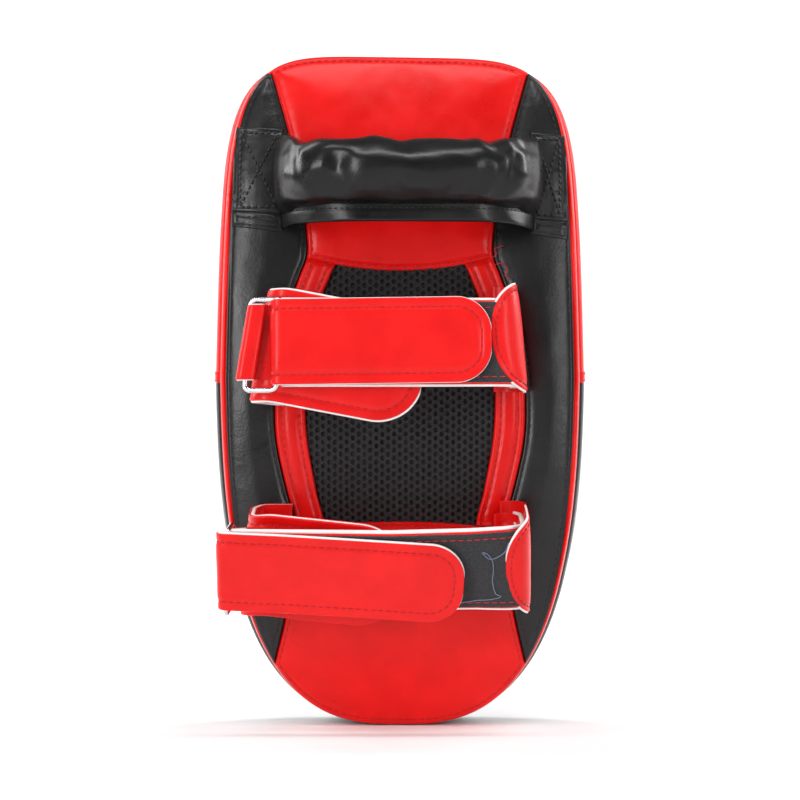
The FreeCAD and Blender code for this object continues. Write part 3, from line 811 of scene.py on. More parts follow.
def cover_hem():
    """The folded, topstitched hem where the upper cover laps over the lower one."""
    line = seam_line()
    run = lengths(line)
    tangent = np.gradient(line, axis=0)
    outward = np.stack([-tangent[:, 1], tangent[:, 0], 0 * run], -1)
    outward /= np.linalg.norm(outward, axis=1)[:, None]
    outward *= -np.sign(outward[5, 0])

    def place(s, w, height):
        base = np.stack([np.interp(s, run, c) for c in line.T], -1)
        normal = np.stack([np.interp(s, run, c) for c in outward.T], -1)
        points = base + normal * np.asarray(height)[..., None]
        points[..., 2] = SEAM + w
        points[..., 1] += bend(points[..., 2])
        return points

    ws = HEM_HALF * (2 * shares(2 * HEM_HALF, 1.2, (0, 0.15, 0.45, 0.9)) - 1)
    s, w = np.meshgrid(np.linspace(0, run[-1], 300), ws + HEM_RISE, indexing="ij")
    flat = np.stack([s, w], -1)
    distance = HEM_HALF - np.abs(w - HEM_RISE)
    front = 0.05 + 0.4 * rolled(distance, 0.8) - 0.2 * groove(distance, 1.5, 0.5)
    hem = Slab(flat, place, front, -0.4)
    dress(hem.mesh("cover_hem"), "red", "red_pu")
    lines = [(straight(2, run[-1] - 2, HEM_RISE + off), hem, 0.1) for off in (-1.9, 1.9)]
    stitch_run("cover_hem_stitches", lines, "red_thread", "red_pu")


def welt():
    """The red gusset strip and the rolled edge that the back panels are sewn to."""
    angle = np.linspace(0, 2 * math.pi, 420, endpoint=False)
    rows = wall_rings(WELT, angle, 40, False)
    piece = finish_mesh("gusset", place_wall(rows).reshape(-1, 3),
                        grid_faces(len(rows), len(angle), closed=True))
    thicken(piece, 0.9)
    dress(piece, "red", "red_pu", ["side_gusset"], fill=0.7)


def foam_layer(node, material, slot, insets, depths, fill):
    """One foam layer inside the covers, its edges rounded off."""
    angle = np.linspace(0, 2 * math.pi, 160, endpoint=False)
    middle, reach = (depths[0] + depths[1]) / 2, (depths[1] - depths[0]) / 2
    edge = []
    for turn in np.linspace(-math.pi / 2, math.pi / 2, 13):
        back = FOAM_ROUND * (1 - math.cos(turn))
        x, z = outline(angle, insets[0] + back, insets[1] + back)
        edge.append(np.stack([x, middle + reach * math.sin(turn) + 0 * x, z], -1))
    rear, front = edge[0], edge[-1]
    rows = [face_ring(rear, share) for share in (1.0, 0.85, 0.65, 0.45, 0.25)]
    rows += edge
    rows += [face_ring(front, share) for share in (0.25, 0.45, 0.65, 0.85, 1.0)]
    rows = np.array(rows)
    piece = finish_mesh(f"{node}_inside", place_wall(rows).reshape(-1, 3),
                        grid_faces(len(rows), len(angle), closed=True))
    dress(piece, material, slot, [node], fill=fill)


def face_ring(ring, share):
    """A ring drawn in towards the middle of the seam by that share."""
    drawn = ring.copy()
    drawn[:, 0] = ring[:, 0] * (1 - share)
    drawn[:, 2] = SEAM + (ring[:, 2] - SEAM) * (1 - share)
    return drawn


def foams():
    """The pad's three foam layers, each a little smaller than its cover."""
    foam_layer("strike_foam", "soft", "strike_foam", (4.2, 4.2), (33.0, 46.6), 0.8)
    foam_layer("core_foam", "core", "core_foam", (6.5, 5.0), (13.6, 32.8), 0.9)
    foam_layer("rear_foam", "board", "board_foam", (10.5, 6.0), (2.6, 13.2), 0.9)


# The back panels

PANEL_EDGE = [
    # half width and height, up the line between the side panels and what lies between them
    (73.5, -165.0),
    (71.2, -156.0),
    (64.4, -127.0),
    (59.8, -98.0),
    (58.4, -76.0),
    (63.5, -56.0),
    (69.0, -30.0),
    (70.0, -8.0),
    (68.0, 18.0),
    (63.0, 44.0),
    (56.2, 64.0),
    (52.2, 76.0),
    (53.2, 94.0),
    (57.0, 118.0),
    (62.6, 144.0),
    (71.5, 176.0),
    (73.2, 181.0),
]
PANEL_CURVE = smooth_curve(PANEL_EDGE, 600)
BINDING_WIDTH = 16.5
ROLL = 1.9
PUFF = 3.3
FALL = 2.4
FALL_START = 68.0
FALL_WIDTH = 28.0
TOP_LOW = 66.5
TOP_RISE = 7.5
BOTTOM_HIGH = -73.5
BOTTOM_FALL = 4.5
TOPSTITCH = 2.8
TOPSTITCH_TRIM = 4.0


def panel_line(low, high, count):
    """The line between the panels on the right side, from one height to another."""
    z = np.linspace(low, high, count)
    return np.stack([np.interp(z, PANEL_CURVE[:, 1], PANEL_CURVE[:, 0]), z], -1)


def meeting(top, side):
    """The height at which the line between the panels runs out into the welt."""
    half, z = PANEL_CURVE.T
    outside = (half > rear_half(z, side)) & (z > 0 if top else z < 0)
    if not outside.any():
        return z[-1 if top else 0]
    return z[outside].min() if top else z[outside].max()


def panel_front(flat, distance, along, seed, crown):
    """A padded panel's height: rolled edges, a stitched groove, puckers and soft swells."""
    x, z = flat[..., 0], flat[..., 1]
    height = -1.0 + ROLL * rolled(distance, 1.8) + crown * PUFF * (1 - np.exp(-distance / 15.0))
    height = height - 0.5 * groove(distance, TOPSTITCH, 0.85)
    height += 0.16 * np.sin(along * 2 * math.pi / 6.4) * np.exp(-((distance - 5.5) / 4.0) ** 2)
    height -= FALL * np.clip((np.abs(x) - FALL_START) / FALL_WIDTH, 0, 1) ** 2
    height += 0.6 * waves(x, z, 38.0, seed) * np.clip(distance / 12, 0, 1)
    height += 0.16 * waves(x, z, 9.0, seed + 1) * np.clip(distance / 6, 0, 1)
    return height


def panel(name, flat, material, node, seed, crown, stitched):
    """A sewn back panel, swollen by the foam behind it, with topstitching beside its seams."""
    distance, along = edge_distance(flat)
    slab = Slab(flat, on_back, panel_front(flat, distance, along, seed, crown), -1.6)
    piece = slab.mesh(f"{name}_panel")
    slot = f"{material}_pu"
    dress(piece, material, slot, [node], fill=0.8)
    lines = [(line, slab, 0.12) for line in stitched]
    stitch_run(f"{name}_panel_stitches", lines, f"{material}_thread", slot)
    return slab


def inside_line(flat, edge, distance=TOPSTITCH):
    """The line at that distance inside one edge of a grid: left, right, bottom or top."""
    grid = {"left": flat, "right": flat[:, ::-1], "bottom": flat.transpose(1, 0, 2),
            "top": flat[::-1].transpose(1, 0, 2)}[edge]
    line = []
    for ruling in grid:
        run = lengths(ruling)
        if run[-1] > 3 * distance:
            line.append([np.interp(distance, run, ruling[:, k]) for k in (0, 1)])
    line = np.array(line)
    trim = TOPSTITCH_TRIM / lengths(line)[-1]
    return evenly(line, np.linspace(trim, 1 - trim, 220))


def side_panels():
    """The black panels down both sides of the back."""
    slabs = {}
    for side, name, seed in ((-1, "left", 11), (1, "right", 17)):
        low, high = meeting(False, side) + 0.5, meeting(True, side) - 0.5
        vs = shares(high - low, 2.6)
        z = low + (high - low) * vs
        line = panel_line(low, high, 800)
        inner = np.stack([side * np.interp(z, line[:, 1], line[:, 0]), z], -1)
        outer = np.stack([side * rear_half(z, side), z], -1)
        flat = between(inner, outer, shares(36.0, 1.9))
        stitched = [inside_line(flat, "left"), inside_line(flat, "right", 3.4)]
        node = f"{name}_back_panel"
        slabs[name] = panel(f"{name}_side", flat, "black", node, seed, 1.3, stitched)
    return slabs


def end_panel(name, node, low, rise, top, seed):
    """The red panel at one end: its side seams, its shaped near edge and the pad's outline."""
    sides = []
    for side in (-1, 1):
        heights = sorted((low + rise, meeting(top, side) + (-0.5 if top else 0.5)))
        line = panel_line(*heights, 200) * [side, 1]
        sides.append(line if top else line[::-1])
    turn = np.linspace(math.pi, 0, 1600) if top else np.linspace(-math.pi, 0, 1600)
    rim = np.stack(outline(turn, REAR_INSET, REAR_END_INSET), -1)
    first, last = (int(((rim - line[-1]) ** 2).sum(1).argmin()) for line in sides)
    us, vs = shares(130.0, 2.3), shares(110.0, 2.2)
    left, right = (evenly(line, vs) for line in sides)
    far = evenly(rim[first:last + 1], us)
    x = np.linspace(left[0, 0], right[0, 0], 200)
    near = evenly(np.stack([x, low + rise * (x / right[0, 0]) ** 2], -1), us)
    far[0], far[-1], near[0], near[-1] = left[-1], right[-1], left[0], right[0]
    flat = coons(left, right, near, far, us, vs)
    stitched = [inside_line(flat, edge) for edge in ("left", "right", "bottom", "top")]
    panel(f"{name}_red", flat, "red", node, seed, 1.25, stitched)


def end_panels():
    """The red panels above and below the forearm rest."""
    end_panel("top", "top_back_panel", TOP_LOW, TOP_RISE, True, 23)
    end_panel("bottom", "bottom_back_panel", BOTTOM_HIGH, -BOTTOM_FALL, False, 29)


# The forearm rest

HOLE_ACROSS = 3.3
HOLE_UP = 4.5
HOLE = (1.2, 1.42)
CELL_REACH = 2.417


def rest_top(x):
    """The height at which the mesh ends under the top red panel."""
    return TOP_LOW + TOP_RISE * (x / 52) ** 2


def rest_bottom(x):
    """The height at which the mesh ends under the bottom red panel."""
    return BOTTOM_HIGH - BOTTOM_FALL * (x / 58) ** 2


def rest_height(x, z):
    """How far the forearm rest stands out: a soft cushion that dips towards its bindings."""
    edge = panel_line(-78, 76, 300)
    half = np.interp(z, edge[:, 1], edge[:, 0])
    side = np.clip((half - BINDING_WIDTH + 1.5 - np.abs(x)) / 16.0, 0, 1)
    end = np.clip(np.minimum(TOP_LOW - z, z - BOTTOM_HIGH) / 18.0, 0, 1)
    rise = np.sin(side * math.pi / 2) * np.sin(end * math.pi / 2)
    return 0.6 + (MESH_RISE - 1.2) * rise


def air_mesh():
    """The knitted mesh, every hole of it cut through, over a dark sponge."""
    edge = panel_line(-80, 77, 300)
    near, up = HOLE_ACROSS - CELL_REACH, HOLE_UP / 2
    corners = np.array([(CELL_REACH, 0), (near, up), (-near, up),
                        (-CELL_REACH, 0), (-near, -up), (near, -up)])
    ring = np.empty((12, 2))
    ring[0::2] = corners
    ring[1::2] = (corners + np.roll(corners, -1, axis=0)) / 2
    angle = np.arctan2(ring[:, 1], ring[:, 0])
    hole = np.stack([HOLE[0] * np.cos(angle), HOLE[1] * np.sin(angle)], -1)
    loops = [(ring, 0.0), (hole * 1.16, 0.2), (hole * 1.05, 0.14), (hole, -0.1), (hole, -0.9)]
    points, heights, faces = [], [], []
    columns = int(62 / HOLE_ACROSS)
    rows = int(84 / HOLE_UP)
    count = 0
    for i in range(-columns, columns + 1):
        for j in range(-rows, rows + 1):
            centre = np.array([i * HOLE_ACROSS, (j + 0.5 * (i % 2)) * HOLE_UP])
            half = np.interp(centre[1], edge[:, 1], edge[:, 0]) - BINDING_WIDTH + 6.0
            low, high = rest_bottom(centre[0]) - 5, rest_top(centre[0]) + 5
            if abs(centre[0]) > half or not low < centre[1] < high:
                continue
            wobble = 0.12 * np.array([
                noise.noise((i * 0.9, j * 0.9, 1.0)), noise.noise((i * 0.9, j * 0.9, 5.0))
            ])
            for loop, height in loops:
                points.append(centre + loop + (0 if loop is ring else wobble))
                heights.append(np.full(12, height))
            faces += grid_faces(len(loops), 12, count, closed=True)
            count += 12 * len(loops)
    flat = np.vstack(points)
    height = np.concatenate(heights) + rest_height(flat[:, 0], flat[:, 1])
    height += 0.35 * waves(flat[:, 0], flat[:, 1], 22.0, 41)
    piece = finish_mesh("air_mesh", on_back(flat[:, 0], flat[:, 1], height), faces)
    dress(piece, "air_mesh", "air_mesh", ["forearm_mesh"], fill=0.5)


def sponge():
    """The dark sponge seen through the mesh."""
    edge = panel_line(BOTTOM_HIGH - 4, TOP_LOW + 8, 90)
    right = edge - [BINDING_WIDTH - 6.0, 0]
    flat = between(right * [-1, 1], right, shares(100.0, 3.0))
    x, z = flat[..., 0], flat[..., 1]
    front = rest_height(x, z) - 1.1 + 0.35 * waves(x, z, 22.0, 41)
    piece = Slab(flat, on_back, np.maximum(front, -1.0), -3.0).mesh("sponge")
    dress(piece, "sponge", "sponge", ["forearm_sponge"], fill=0.6)


def bindings():
    """The red bindings of the mesh, each a folded strip with a raised rim at both edges."""
    for side, name, seed in ((-1, "left", 51), (1, "right", 57)):
        outer = panel_line(BOTTOM_HIGH - 5, TOP_LOW + TOP_RISE + 3, 90)
        us = shares(BINDING_WIDTH, 1.0, (0, 0.12, 0.4, 0.9, 1.6, 2.4, 3.2, 4.0))
        inner = outer - [BINDING_WIDTH, 0]
        inner[:, 0] += 0.8 * np.sin(outer[:, 1] / 17.0)
        flat = between(inner, outer, us) * [side, 1]
        x, z = flat[..., 0], flat[..., 1]
        edge = np.broadcast_to(np.minimum(us, 1 - us) * BINDING_WIDTH, x.shape)
        height = 1.3 + 2.2 * rolled(edge, 1.7) - 1.15 * groove(edge, 3.6, 0.8)
        height += 0.7 * np.clip((edge - 4.2) / 3, 0, 1)
        height = height + 1.7 * (1 - us[None]) - 1.0
        height += 0.25 * waves(x, z, 14.0, seed) + 0.15 * np.sin(z * 1.05) * groove(edge, 4.6, 1.5)
        under = np.minimum(rest_top(x) - z, z - rest_bottom(x))
        height = -1.1 + (height + 1.1) * np.clip((under + 1.0) / 2.2, 0.02, 1)
        slab = Slab(flat, on_back, height, -1.2)
        node = f"{name}_mesh_binding"
        dress(slab.mesh(f"{name}_binding"), "red", "red_pu", [node], fill=0.5)
        runs = [
            (evenly(flat[:, int(np.argmin(np.abs(us * BINDING_WIDTH - at)))],
                    np.linspace(0.01, 0.99, 200)), slab, 0.15)
            for at in (3.6, BINDING_WIDTH - 3.6)
        ]
        stitch_run(f"{name}_binding_stitches", runs, "red_thread", "red_pu")


# The grab handle

GRIP_RADIUS = 18.4
GRIP_Z = JOINTS["handle_swing"]["pos_m"][2] / MM
GRIP_FRONT = corner("handle_cover", 0, "y")
GRIP_LEFT = corner("handle_left_anchor", 1, "x")
GRIP_RIGHT = corner("handle_right_anchor", 0, "x")
GRIP_SIDES = 48
GRIP_VOXEL = 3.2
FLAT_WIDE = 24.5
FLAT_DEEP = 4.5
BOW_POWER = 4.2
FLAT_POWER = 6.0
GRIP_FOLDS = [
    # across the pad, width, height of a gather along the grip's top
    (-61.0, 4.0, 1.8),
    (-53.0, 4.5, -1.6),
    (-14.5, 5.0, 1.7),
    (1.0, 4.0, -1.8),
    (42.0, 5.0, 1.3),
    (48.5, 3.5, -1.8),
    (60.0, 4.0, 1.2),
]


def grip_line():
    """The grip's centre line, from the left anchor out to its middle and back to the right."""
    middle = GRIP_FRONT + GRIP_RADIUS
    left, right = GRIP_LEFT - 5.0, GRIP_RIGHT + 4.0
    root = float(bend(GRIP_Z)) - 4.0
    u = np.linspace(-1, 1, 400)
    x = (left + right) / 2 + (right - left) / 2 * u
    y = middle + (root - middle) * np.abs(u) ** BOW_POWER
    line = np.stack([x, y, np.abs(u) ** FLAT_POWER], -1)
    run = lengths(line[:, :2])
    even = np.linspace(0, run[-1], 96)
    return np.stack([np.interp(even, run, column) for column in line.T], -1)


def grab_handle():
    """The padded sleeve: swept, remeshed and swollen by simulation, then its flange is sewn on."""
    line = grip_line()
    tangent = np.gradient(line[:, :2], axis=0)
    tangent /= np.linalg.norm(tangent, axis=1)[:, None]
    normal = np.stack([tangent[:, 1], -tangent[:, 0]], -1)
    angle = np.linspace(0, 2 * math.pi, GRIP_SIDES, endpoint=False)
    rings = []
    for (x, y, flatness), (nx, ny) in zip(line, normal):
        wide = FLAT_WIDE * flatness + (GRIP_RADIUS - 1.0) * (1 - flatness)
        deep = FLAT_DEEP * flatness + (GRIP_RADIUS - 1.0) * (1 - flatness)
        sag = GRIP_Z + 1.5 * flatness
        out = deep * np.cos(angle)
        rings.append(np.stack([x + nx * out, y + ny * out, sag + wide * np.sin(angle)], -1))
    rings = np.array(rings).reshape(-1, 3)
    faces = grid_faces(len(line), GRIP_SIDES, closed=True)
    faces.append(tuple(range(GRIP_SIDES))[::-1])
    faces.append(tuple(range(len(rings) - GRIP_SIDES, len(rings))))
    sleeve = finish_mesh("grip_sleeve", rings, faces)
    remesh = sleeve.modifiers.new("remesh", "REMESH")
    remesh.mode = "VOXEL"
    remesh.voxel_size = GRIP_VOXEL * MM
    apply_modifiers(sleeve)
    points = places(sleeve)
    low = points[:, 2] < GRIP_Z - GRIP_RADIUS + 3.4
    ends = (points[:, 0] < GRIP_LEFT + 2.5) | (points[:, 0] > GRIP_RIGHT - 2.5)
    inflate(sleeve, low | ends, pressure=5.0, cap=2.6, swell=0.055)
    relax = sleeve.modifiers.new("relax", "SMOOTH")
    relax.factor = 0.5
    relax.iterations = 6
    apply_modifiers(sleeve)
    points = places(sleeve)
    x, y, z = points.T
    dent = 0.6 * waves(x, z + y, 13.0, 61) + 0.25 * waves(x, z - y, 8.0, 63)
    upper_side = np.clip((z - GRIP_Z) / GRIP_RADIUS, 0, 1) ** 2
    for place, width, size in GRIP_FOLDS:
        slanted = x - place - 0.5 * (GRIP_Z + GRIP_RADIUS - z)
        dent += size * np.exp(-((slanted / width) ** 2)) * upper_side
    gather = np.exp(-((x - GRIP_LEFT) / 9) ** 2) + np.exp(-((x - GRIP_RIGHT) / 9) ** 2)
    dent += gather * 0.7 * np.sin(z * 0.6 + 2.0 * waves(x, z, 20.0, 67))
    away = np.stack([0 * x, y - np.interp(x, line[:, 0], line[:, 1]), z - GRIP_Z], -1)
    away /= np.linalg.norm(away, axis=1)[:, None] + 1e-6
    points += away * dent[:, None]
    sleeve.data.vertices.foreach_set("co", (points * MM).ravel())
    smooth = sleeve.modifiers.new("smooth", "SUBSURF")
    smooth.levels = smooth.render_levels = 1
    apply_modifiers(sleeve)
    swing = ("pad", "grab_handle", (0, 0.004, 0), (0, -0.022, 0))
    # the grip material is the black PU darkened as painted shade
    dress(sleeve, "grip", "black_pu", ["handle_cover"], joined=swing, fill=0.85)
    flange(line, swing)
    roll(line, swing)


def roll(line, swing):
    """The foam roll inside the sleeve."""
    inner = line[27:-27]
    points = np.stack([inner[:, 0], inner[:, 1], np.full(len(inner), GRIP_Z)], -1)
    piece = tube("grip_roll", points, GRIP_RADIUS - 6.5, 24)
    dress(piece, "core", "core_foam", ["handle_foam"], joined=swing, fill=0.7)


def flange(line, swing):
    """The sewn edge of the sleeve's cover, hanging below the grip with its row of stitches."""
    run = lengths(line[:, :2])
    top = GRIP_Z - GRIP_RADIUS + 2.5
    low = corner("handle_cover", 0, "z") + 0.6

    def place(s, w, height):
        x = np.interp(s, run, line[:, 0])
        y = np.interp(s, run, line[:, 1])
        flat = np.interp(s, run, line[:, 2])
        dip = 2.0 * np.exp(-((s - 4) / 9.0) ** 2) + 3.0 * np.exp(-((run[-1] - s) / 24.0) ** 2)
        z = top - (top - low - 3 + dip) * w
        return np.stack([x, y - height - 1.5 * flat + 1.2 * np.sin(s / 15.0) * w, z], -1)

    us = np.linspace(0, run[-1], 130)
    ws = np.array([0, 0.15, 0.3, 0.4, 0.5, 0.6, 0.75, 0.88, 0.94, 0.98, 1.0])
    s, w = np.meshgrid(us, ws, indexing="ij")
    front = 1.5 * rolled((1 - w) * 10, 1.4) - 0.5 * groove(w, 0.32, 0.08)
    front = front + 0.45 * waves(s, 20 * w, 11.0, 69) * w
    slab = Slab(np.stack([s, w], -1), place, front, -1.3)
    piece = slab.mesh("grip_flange")
    # the flange uses the grip material too: black PU darkened as painted shade
    dress(piece, "grip", "black_pu", joined=swing)
    seam = straight(3, run[-1] - 3, 0.32, 300)
    stitch_run("grip_flange_stitches", [(seam, slab, 0.1)], "black_thread", "black_pu",
               length=2.2, joined=swing)


def anchors(panels):
    """The sewn-down ends of the handle: a flat patch boxed and crossed with stitching."""
    for side, name, seed in ((-1, "left", 71), (1, "right", 73)):
        node = f"handle_{name}_anchor"
        inner = GRIP_LEFT - 3.5 if side < 0 else GRIP_RIGHT + 1.5
        outer = corner(node, 0 if side < 0 else 1, "x") + side * 1.6
        x0, x1 = min(inner, outer), max(inner, outer)
        z0, z1 = GRIP_Z - 19.0, GRIP_Z + 29.5
        if side > 0:
            z0, z1 = z0 - 4.5, z1 - 3.5
        for part, low, high, base in (("patch", z0, z1, 0.7), ("fold", z0 - 9.5, z0 - 0.6, 0.4)):
            us, vs = shares(x1 - x0, 1.4), shares(high - low, 1.6)
            slope = 1.6 if part == "fold" else 0.8
            left = np.stack([np.full(len(vs), x0), low + (high - low) * vs + slope], -1)
            right = np.stack([np.full(len(vs), x1), low + (high - low) * vs - slope], -1)
            for edge in (left, right):
                limit = rear_half(edge[:, 1], side) + 0.8
                edge[:, 0] = np.clip(edge[:, 0], -limit, limit)
            flat = between(left, right, us)
            distance = rim_gap(flat)
            x, z = flat[..., 0], flat[..., 1]
            under = panels[name].height(flat).reshape(x.shape)
            front = under + base + 0.8 * rolled(distance, 0.9) - 0.35 * groove(distance, 2.4, 0.6)
            front = front + 0.3 * waves(x, z, 13.0, seed)
            front += 0.5 * np.clip((np.abs(x) - rear_half(z, side) + 3.0) / 3.0, 0, 1)
            slab = Slab(flat, on_back, front, under - 1.2)
            nodes = [node] if part == "patch" else []
            dress(slab.mesh(f"grip_{name}_{part}"), "black", "black_pu", nodes, fill=0.3)
            a, b, c, d = x0 + 3.0, x1 - 3.0, low + 3.0, high - 3.0
            a, b = (a + 1.5, b) if side < 0 else (a, b - 1.5)
            if part == "patch":
                lines = [[(a, c), (b, c)], [(b, c), (b, d)], [(b, d), (a, d)], [(a, d), (a, c)],
                         [(a, c), (b, d)], [(a, d), (b, c)]]
            else:
                lines = [[(a, high - 2.0), (b, high - 2.0)], [(a, low + 2.0), (b, low + 2.0)]]
            runs = [(evenly(np.array(ends, float), np.linspace(0, 1, 40)), slab, 0.15)
                    for ends in lines]
            stitch_run(f"grip_{name}_{part}_stitches", runs, "black_thread", "black_pu",
                       length=2.8, gap=0.7, thick=0.75 if part == "patch" else 0.4)


# The forearm straps

STRAP = 47.0
ROOT = 60.0
SKIN = 0.9
FOAM = 2.4
WHOLE = SKIN + FOAM
EDGE_STITCH = 5.2
WRAP = 5.15
BAR_GAP = 1.95
CLOSURE = 0.9
LOOP_HALF = 22.0
HOOK_HALF = 20.5
HOOK_LENGTH = 67.0
FLAP_CURVE = 29.0
FLAP_STITCH = 2.9
TAIL_CORNER = 19.0
TONGUE_CORNER = 25.0
TONGUE_DEPTH = 4.15
KEEPER_HALF = 20.6
KEEPER_WRAP = 3.6
KEEPER_SKIN = 0.75
RING_HALF = 24.6
RING_CORNER = 3.5
RING_SLIDE = -1.6
WIRE = 1.5


@dataclass
class Strap:
    """One strap's own frame on the pad, across, out from the back and up, and its shape in it."""

    name: str
    station: float  # height of the frame on the pad
    lean: float  # degrees from the pad's up to the frame's up
    tilt: tuple  # degrees that the strap's width tips outwards at its root and at its ring
    root_drop: float  # rise of the sewn roots over the frame
    band_fold: float  # place of the band's fold across the pad
    band_drop: list  # rise of the band over the frame, at shares of its length
    fold_roll: float  # degrees that the strap's width skews at the band's fold
    loop_start: float  # start of the loop strip past the fold
    flap_reach: float  # length of the anchor flap over the band
    flap_rise: float  # rise of the anchor flap over the frame
    tail_drop: float  # rise of the tail's tip over the frame
    tail_roll: float  # degrees that the width skews at the tail's tip
    tongue: tuple  # places of its fold and tip across the pad, its degrees, place of its root
    sink: float  # drop of the tongue below the frame

    def __post_init__(self):
        self.turn = math.radians(self.lean)
        self.tail_tip = corner(f"{self.name}_tail_foam", 1, "x") - 0.5
        self.bar = self.local(JOINTS[f"{self.name}_tail_peel"]["pos_m"])
        self.held = self.local(JOINTS[f"{self.name}_ring_swing"]["pos_m"])

    def tipping(self, start, end):
        """The width's tilt along a piece: it turns between two shares of the piece's length."""
        root, ring = self.tilt
        return [(0, root), (start, root), (end, ring), (1, ring)]

    def local(self, metres):
        """The (across, out) of a point of the frame."""
        x, y, z = (value / MM for value in metres)
        away = y - float(bend(self.station))
        up = z - self.station
        return x, -away * math.cos(self.turn) - up * math.sin(self.turn)

    def world(self, points):
        """The pad's (x, y, z) of points of the strap's frame, in millimetres."""
        x, out, up = np.moveaxis(np.asarray(points, float), -1, 0)
        c, s = math.cos(self.turn), math.sin(self.turn)
        return np.stack(
            [x, float(bend(self.station)) - out * c - up * s, self.station - out * s + up * c], -1
        )

    def metres(self, x, out):
        """A point on the strap's middle, in the frame's metres."""
        return tuple(float(v) * MM for v in self.world([x, out, 0.0]))


class Run:
    """A strap's course: an (across, out) line whose width leans, rolls and drops along it."""

    def __init__(self, strap, line, side, tilt=(), roll=(), drop=()):
        self.strap, self.line = strap, np.asarray(line, float)
        self.length = lengths(self.line)[-1]
        self.s = lengths(self.line)
        tangent = np.gradient(self.line, axis=0)
        tangent /= np.linalg.norm(tangent, axis=1)[:, None]
        self.normal = side * np.stack([-tangent[:, 1], tangent[:, 0]], -1)
        self.changes = [self.track(v) for v in (tilt, roll, drop)]

    def track(self, stations):
        """Values given at shares of the length, as values along the line, smoothed."""
        if not stations:
            return np.zeros(len(self.s))
        at, value = zip(*stations)
        share = self.s / self.length
        found = np.interp(share, at, value)
        kernel = np.ones(9) / 9
        return np.convolve(np.pad(found, 4, mode="edge"), kernel, mode="valid")

    def __call__(self, s, w, height):
        """The place of a point along the strap, across it and over it."""
        s, w, height = np.broadcast_arrays(s, w, height)
        x, out = (np.interp(s, self.s, self.line[:, k]) for k in (0, 1))
        nx, no = (np.interp(s, self.s, self.normal[:, k]) for k in (0, 1))
        tilt, roll, drop = (np.interp(s, self.s, track) for track in self.changes)
        wide = np.stack([np.tan(np.radians(roll)), np.tan(np.radians(tilt)), 1 + 0 * s], -1)
        wide /= np.linalg.norm(wide, axis=-1)[..., None]
        up = np.stack([nx, no, 0 * s], -1)
        up -= (up * wide).sum(-1)[..., None] * wide
        up /= np.linalg.norm(up, axis=-1)[..., None]
        middle = np.stack([x, out, drop], -1)
        return self.strap.world(middle + wide * w[..., None] + up * height[..., None])


STRAP_EDGES = (0.0, 0.1, 0.3, 0.65, 1.1, 2.2, 3.6, 4.5, 5.2, 5.9, 7.0, 9.0)


def strip_grid(length, half, radius=0.0, start=0.0, step=2.0, edges=STRAP_EDGES):
    """A flat strip along its length, its far end rounded at the corners."""
    ends = (0.0, 0.02, 0.1, 0.3, 0.7, 1.3, 2.2, 3.4, 4.5, 5.2, 6.0, 7.5)
    along = start + (length - start) * shares(
        length - start, step, ends if radius else (0.0, 0.1, 0.4, 1.0), (False, True)
    )
    across = 2 * shares(2 * half, 3.0, edges) - 1
    over = np.clip(along - (length - radius), 0, radius)
    bound = (half - radius + np.sqrt(np.maximum(radius**2 - over**2, 0)))[:, None]
    s, q = np.meshgrid(along, across, indexing="ij")
    from_edge = half - np.abs(q) * half
    w = np.sign(q) * np.where(
        bound > half * 0.75, np.maximum(bound - from_edge, np.abs(q) * bound * 0.6),
        np.abs(q) * bound
    )
    w = np.where(np.abs(q) > 1 - 1e-9, np.sign(q) * bound, w)
    return np.stack([s, w], -1)


def tip_line(length, half, radius, start):
    """The stitching line round a strip's free end, from one edge round to the other."""
    inner = radius - EDGE_STITCH
    turns = np.linspace(0, math.pi / 2, 14)
    upper = [(length - radius + inner * math.sin(t), half - radius + inner * math.cos(t))
             for t in turns]
    upper = [(start, half - EDGE_STITCH)] + upper
    line = np.array(upper + [(s, -w) for s, w in reversed(upper)])
    return evenly(line, np.linspace(0, 1, 500))


def skin_front(distance, s, w, seed, stitch):
    """The PU's height on a strap: rolled edge, pressed stitching line, soft middle."""
    height = -SKIN + SKIN * rolled(distance, 0.7)
    height = height - 0.55 * groove(distance, stitch, 0.85)
    height += 0.55 * (1 - np.exp(-np.clip(distance - stitch, 0, None) / 3.5))
    height += 0.13 * np.sin(s * 2 * math.pi / 4.1) * groove(distance, stitch, 2.2)
    height += 0.22 * waves(s, w, 16.0, seed)
    return height


def sandwich(run, name, grid, wider, nodes, seed, stitched, moves):
    """Foam between two PU skins: the foam stands a little proud, so its cut edge shows white."""
    distance = rim_gap(grid)
    s, w = grid[..., 0], grid[..., 1]
    skin = Slab(grid, run, skin_front(distance, s, w, seed, EDGE_STITCH), -SKIN - 0.15)
    dress(skin.mesh(f"{name}_skin"), "strap", "red_strap_pu", nodes[:1], **moves)
    gap = rim_gap(wider)
    pressed = 0.45 * groove(gap, EDGE_STITCH + 0.6, 1.0)
    top = -SKIN + 0.2 - 0.75 * (1 - rolled(gap, 0.9)) - pressed
    low = np.minimum(-WHOLE + 0.5 * (1 - rolled(gap, 0.9)) + pressed, top - 0.2)
    layer = Slab(wider, run, top, low)
    dress(layer.mesh(f"{name}_foam_layer"), "white", "white_strap_foam", nodes[1:2],
          fill=0.5, **moves)
    inner = np.minimum(-WHOLE + 0.1 + 0.45 * groove(distance, EDGE_STITCH, 1.0), -SKIN - 0.6)
    lining = Slab(grid, run, inner, inner - 0.35)
    dress(lining.mesh(f"{name}_lining"), "strap", "red_strap_pu", **moves)
    stitch_run(f"{name}_stitches", [(line, skin, 0.15) for line in stitched],
               "red_thread", "red_strap_pu", **moves)


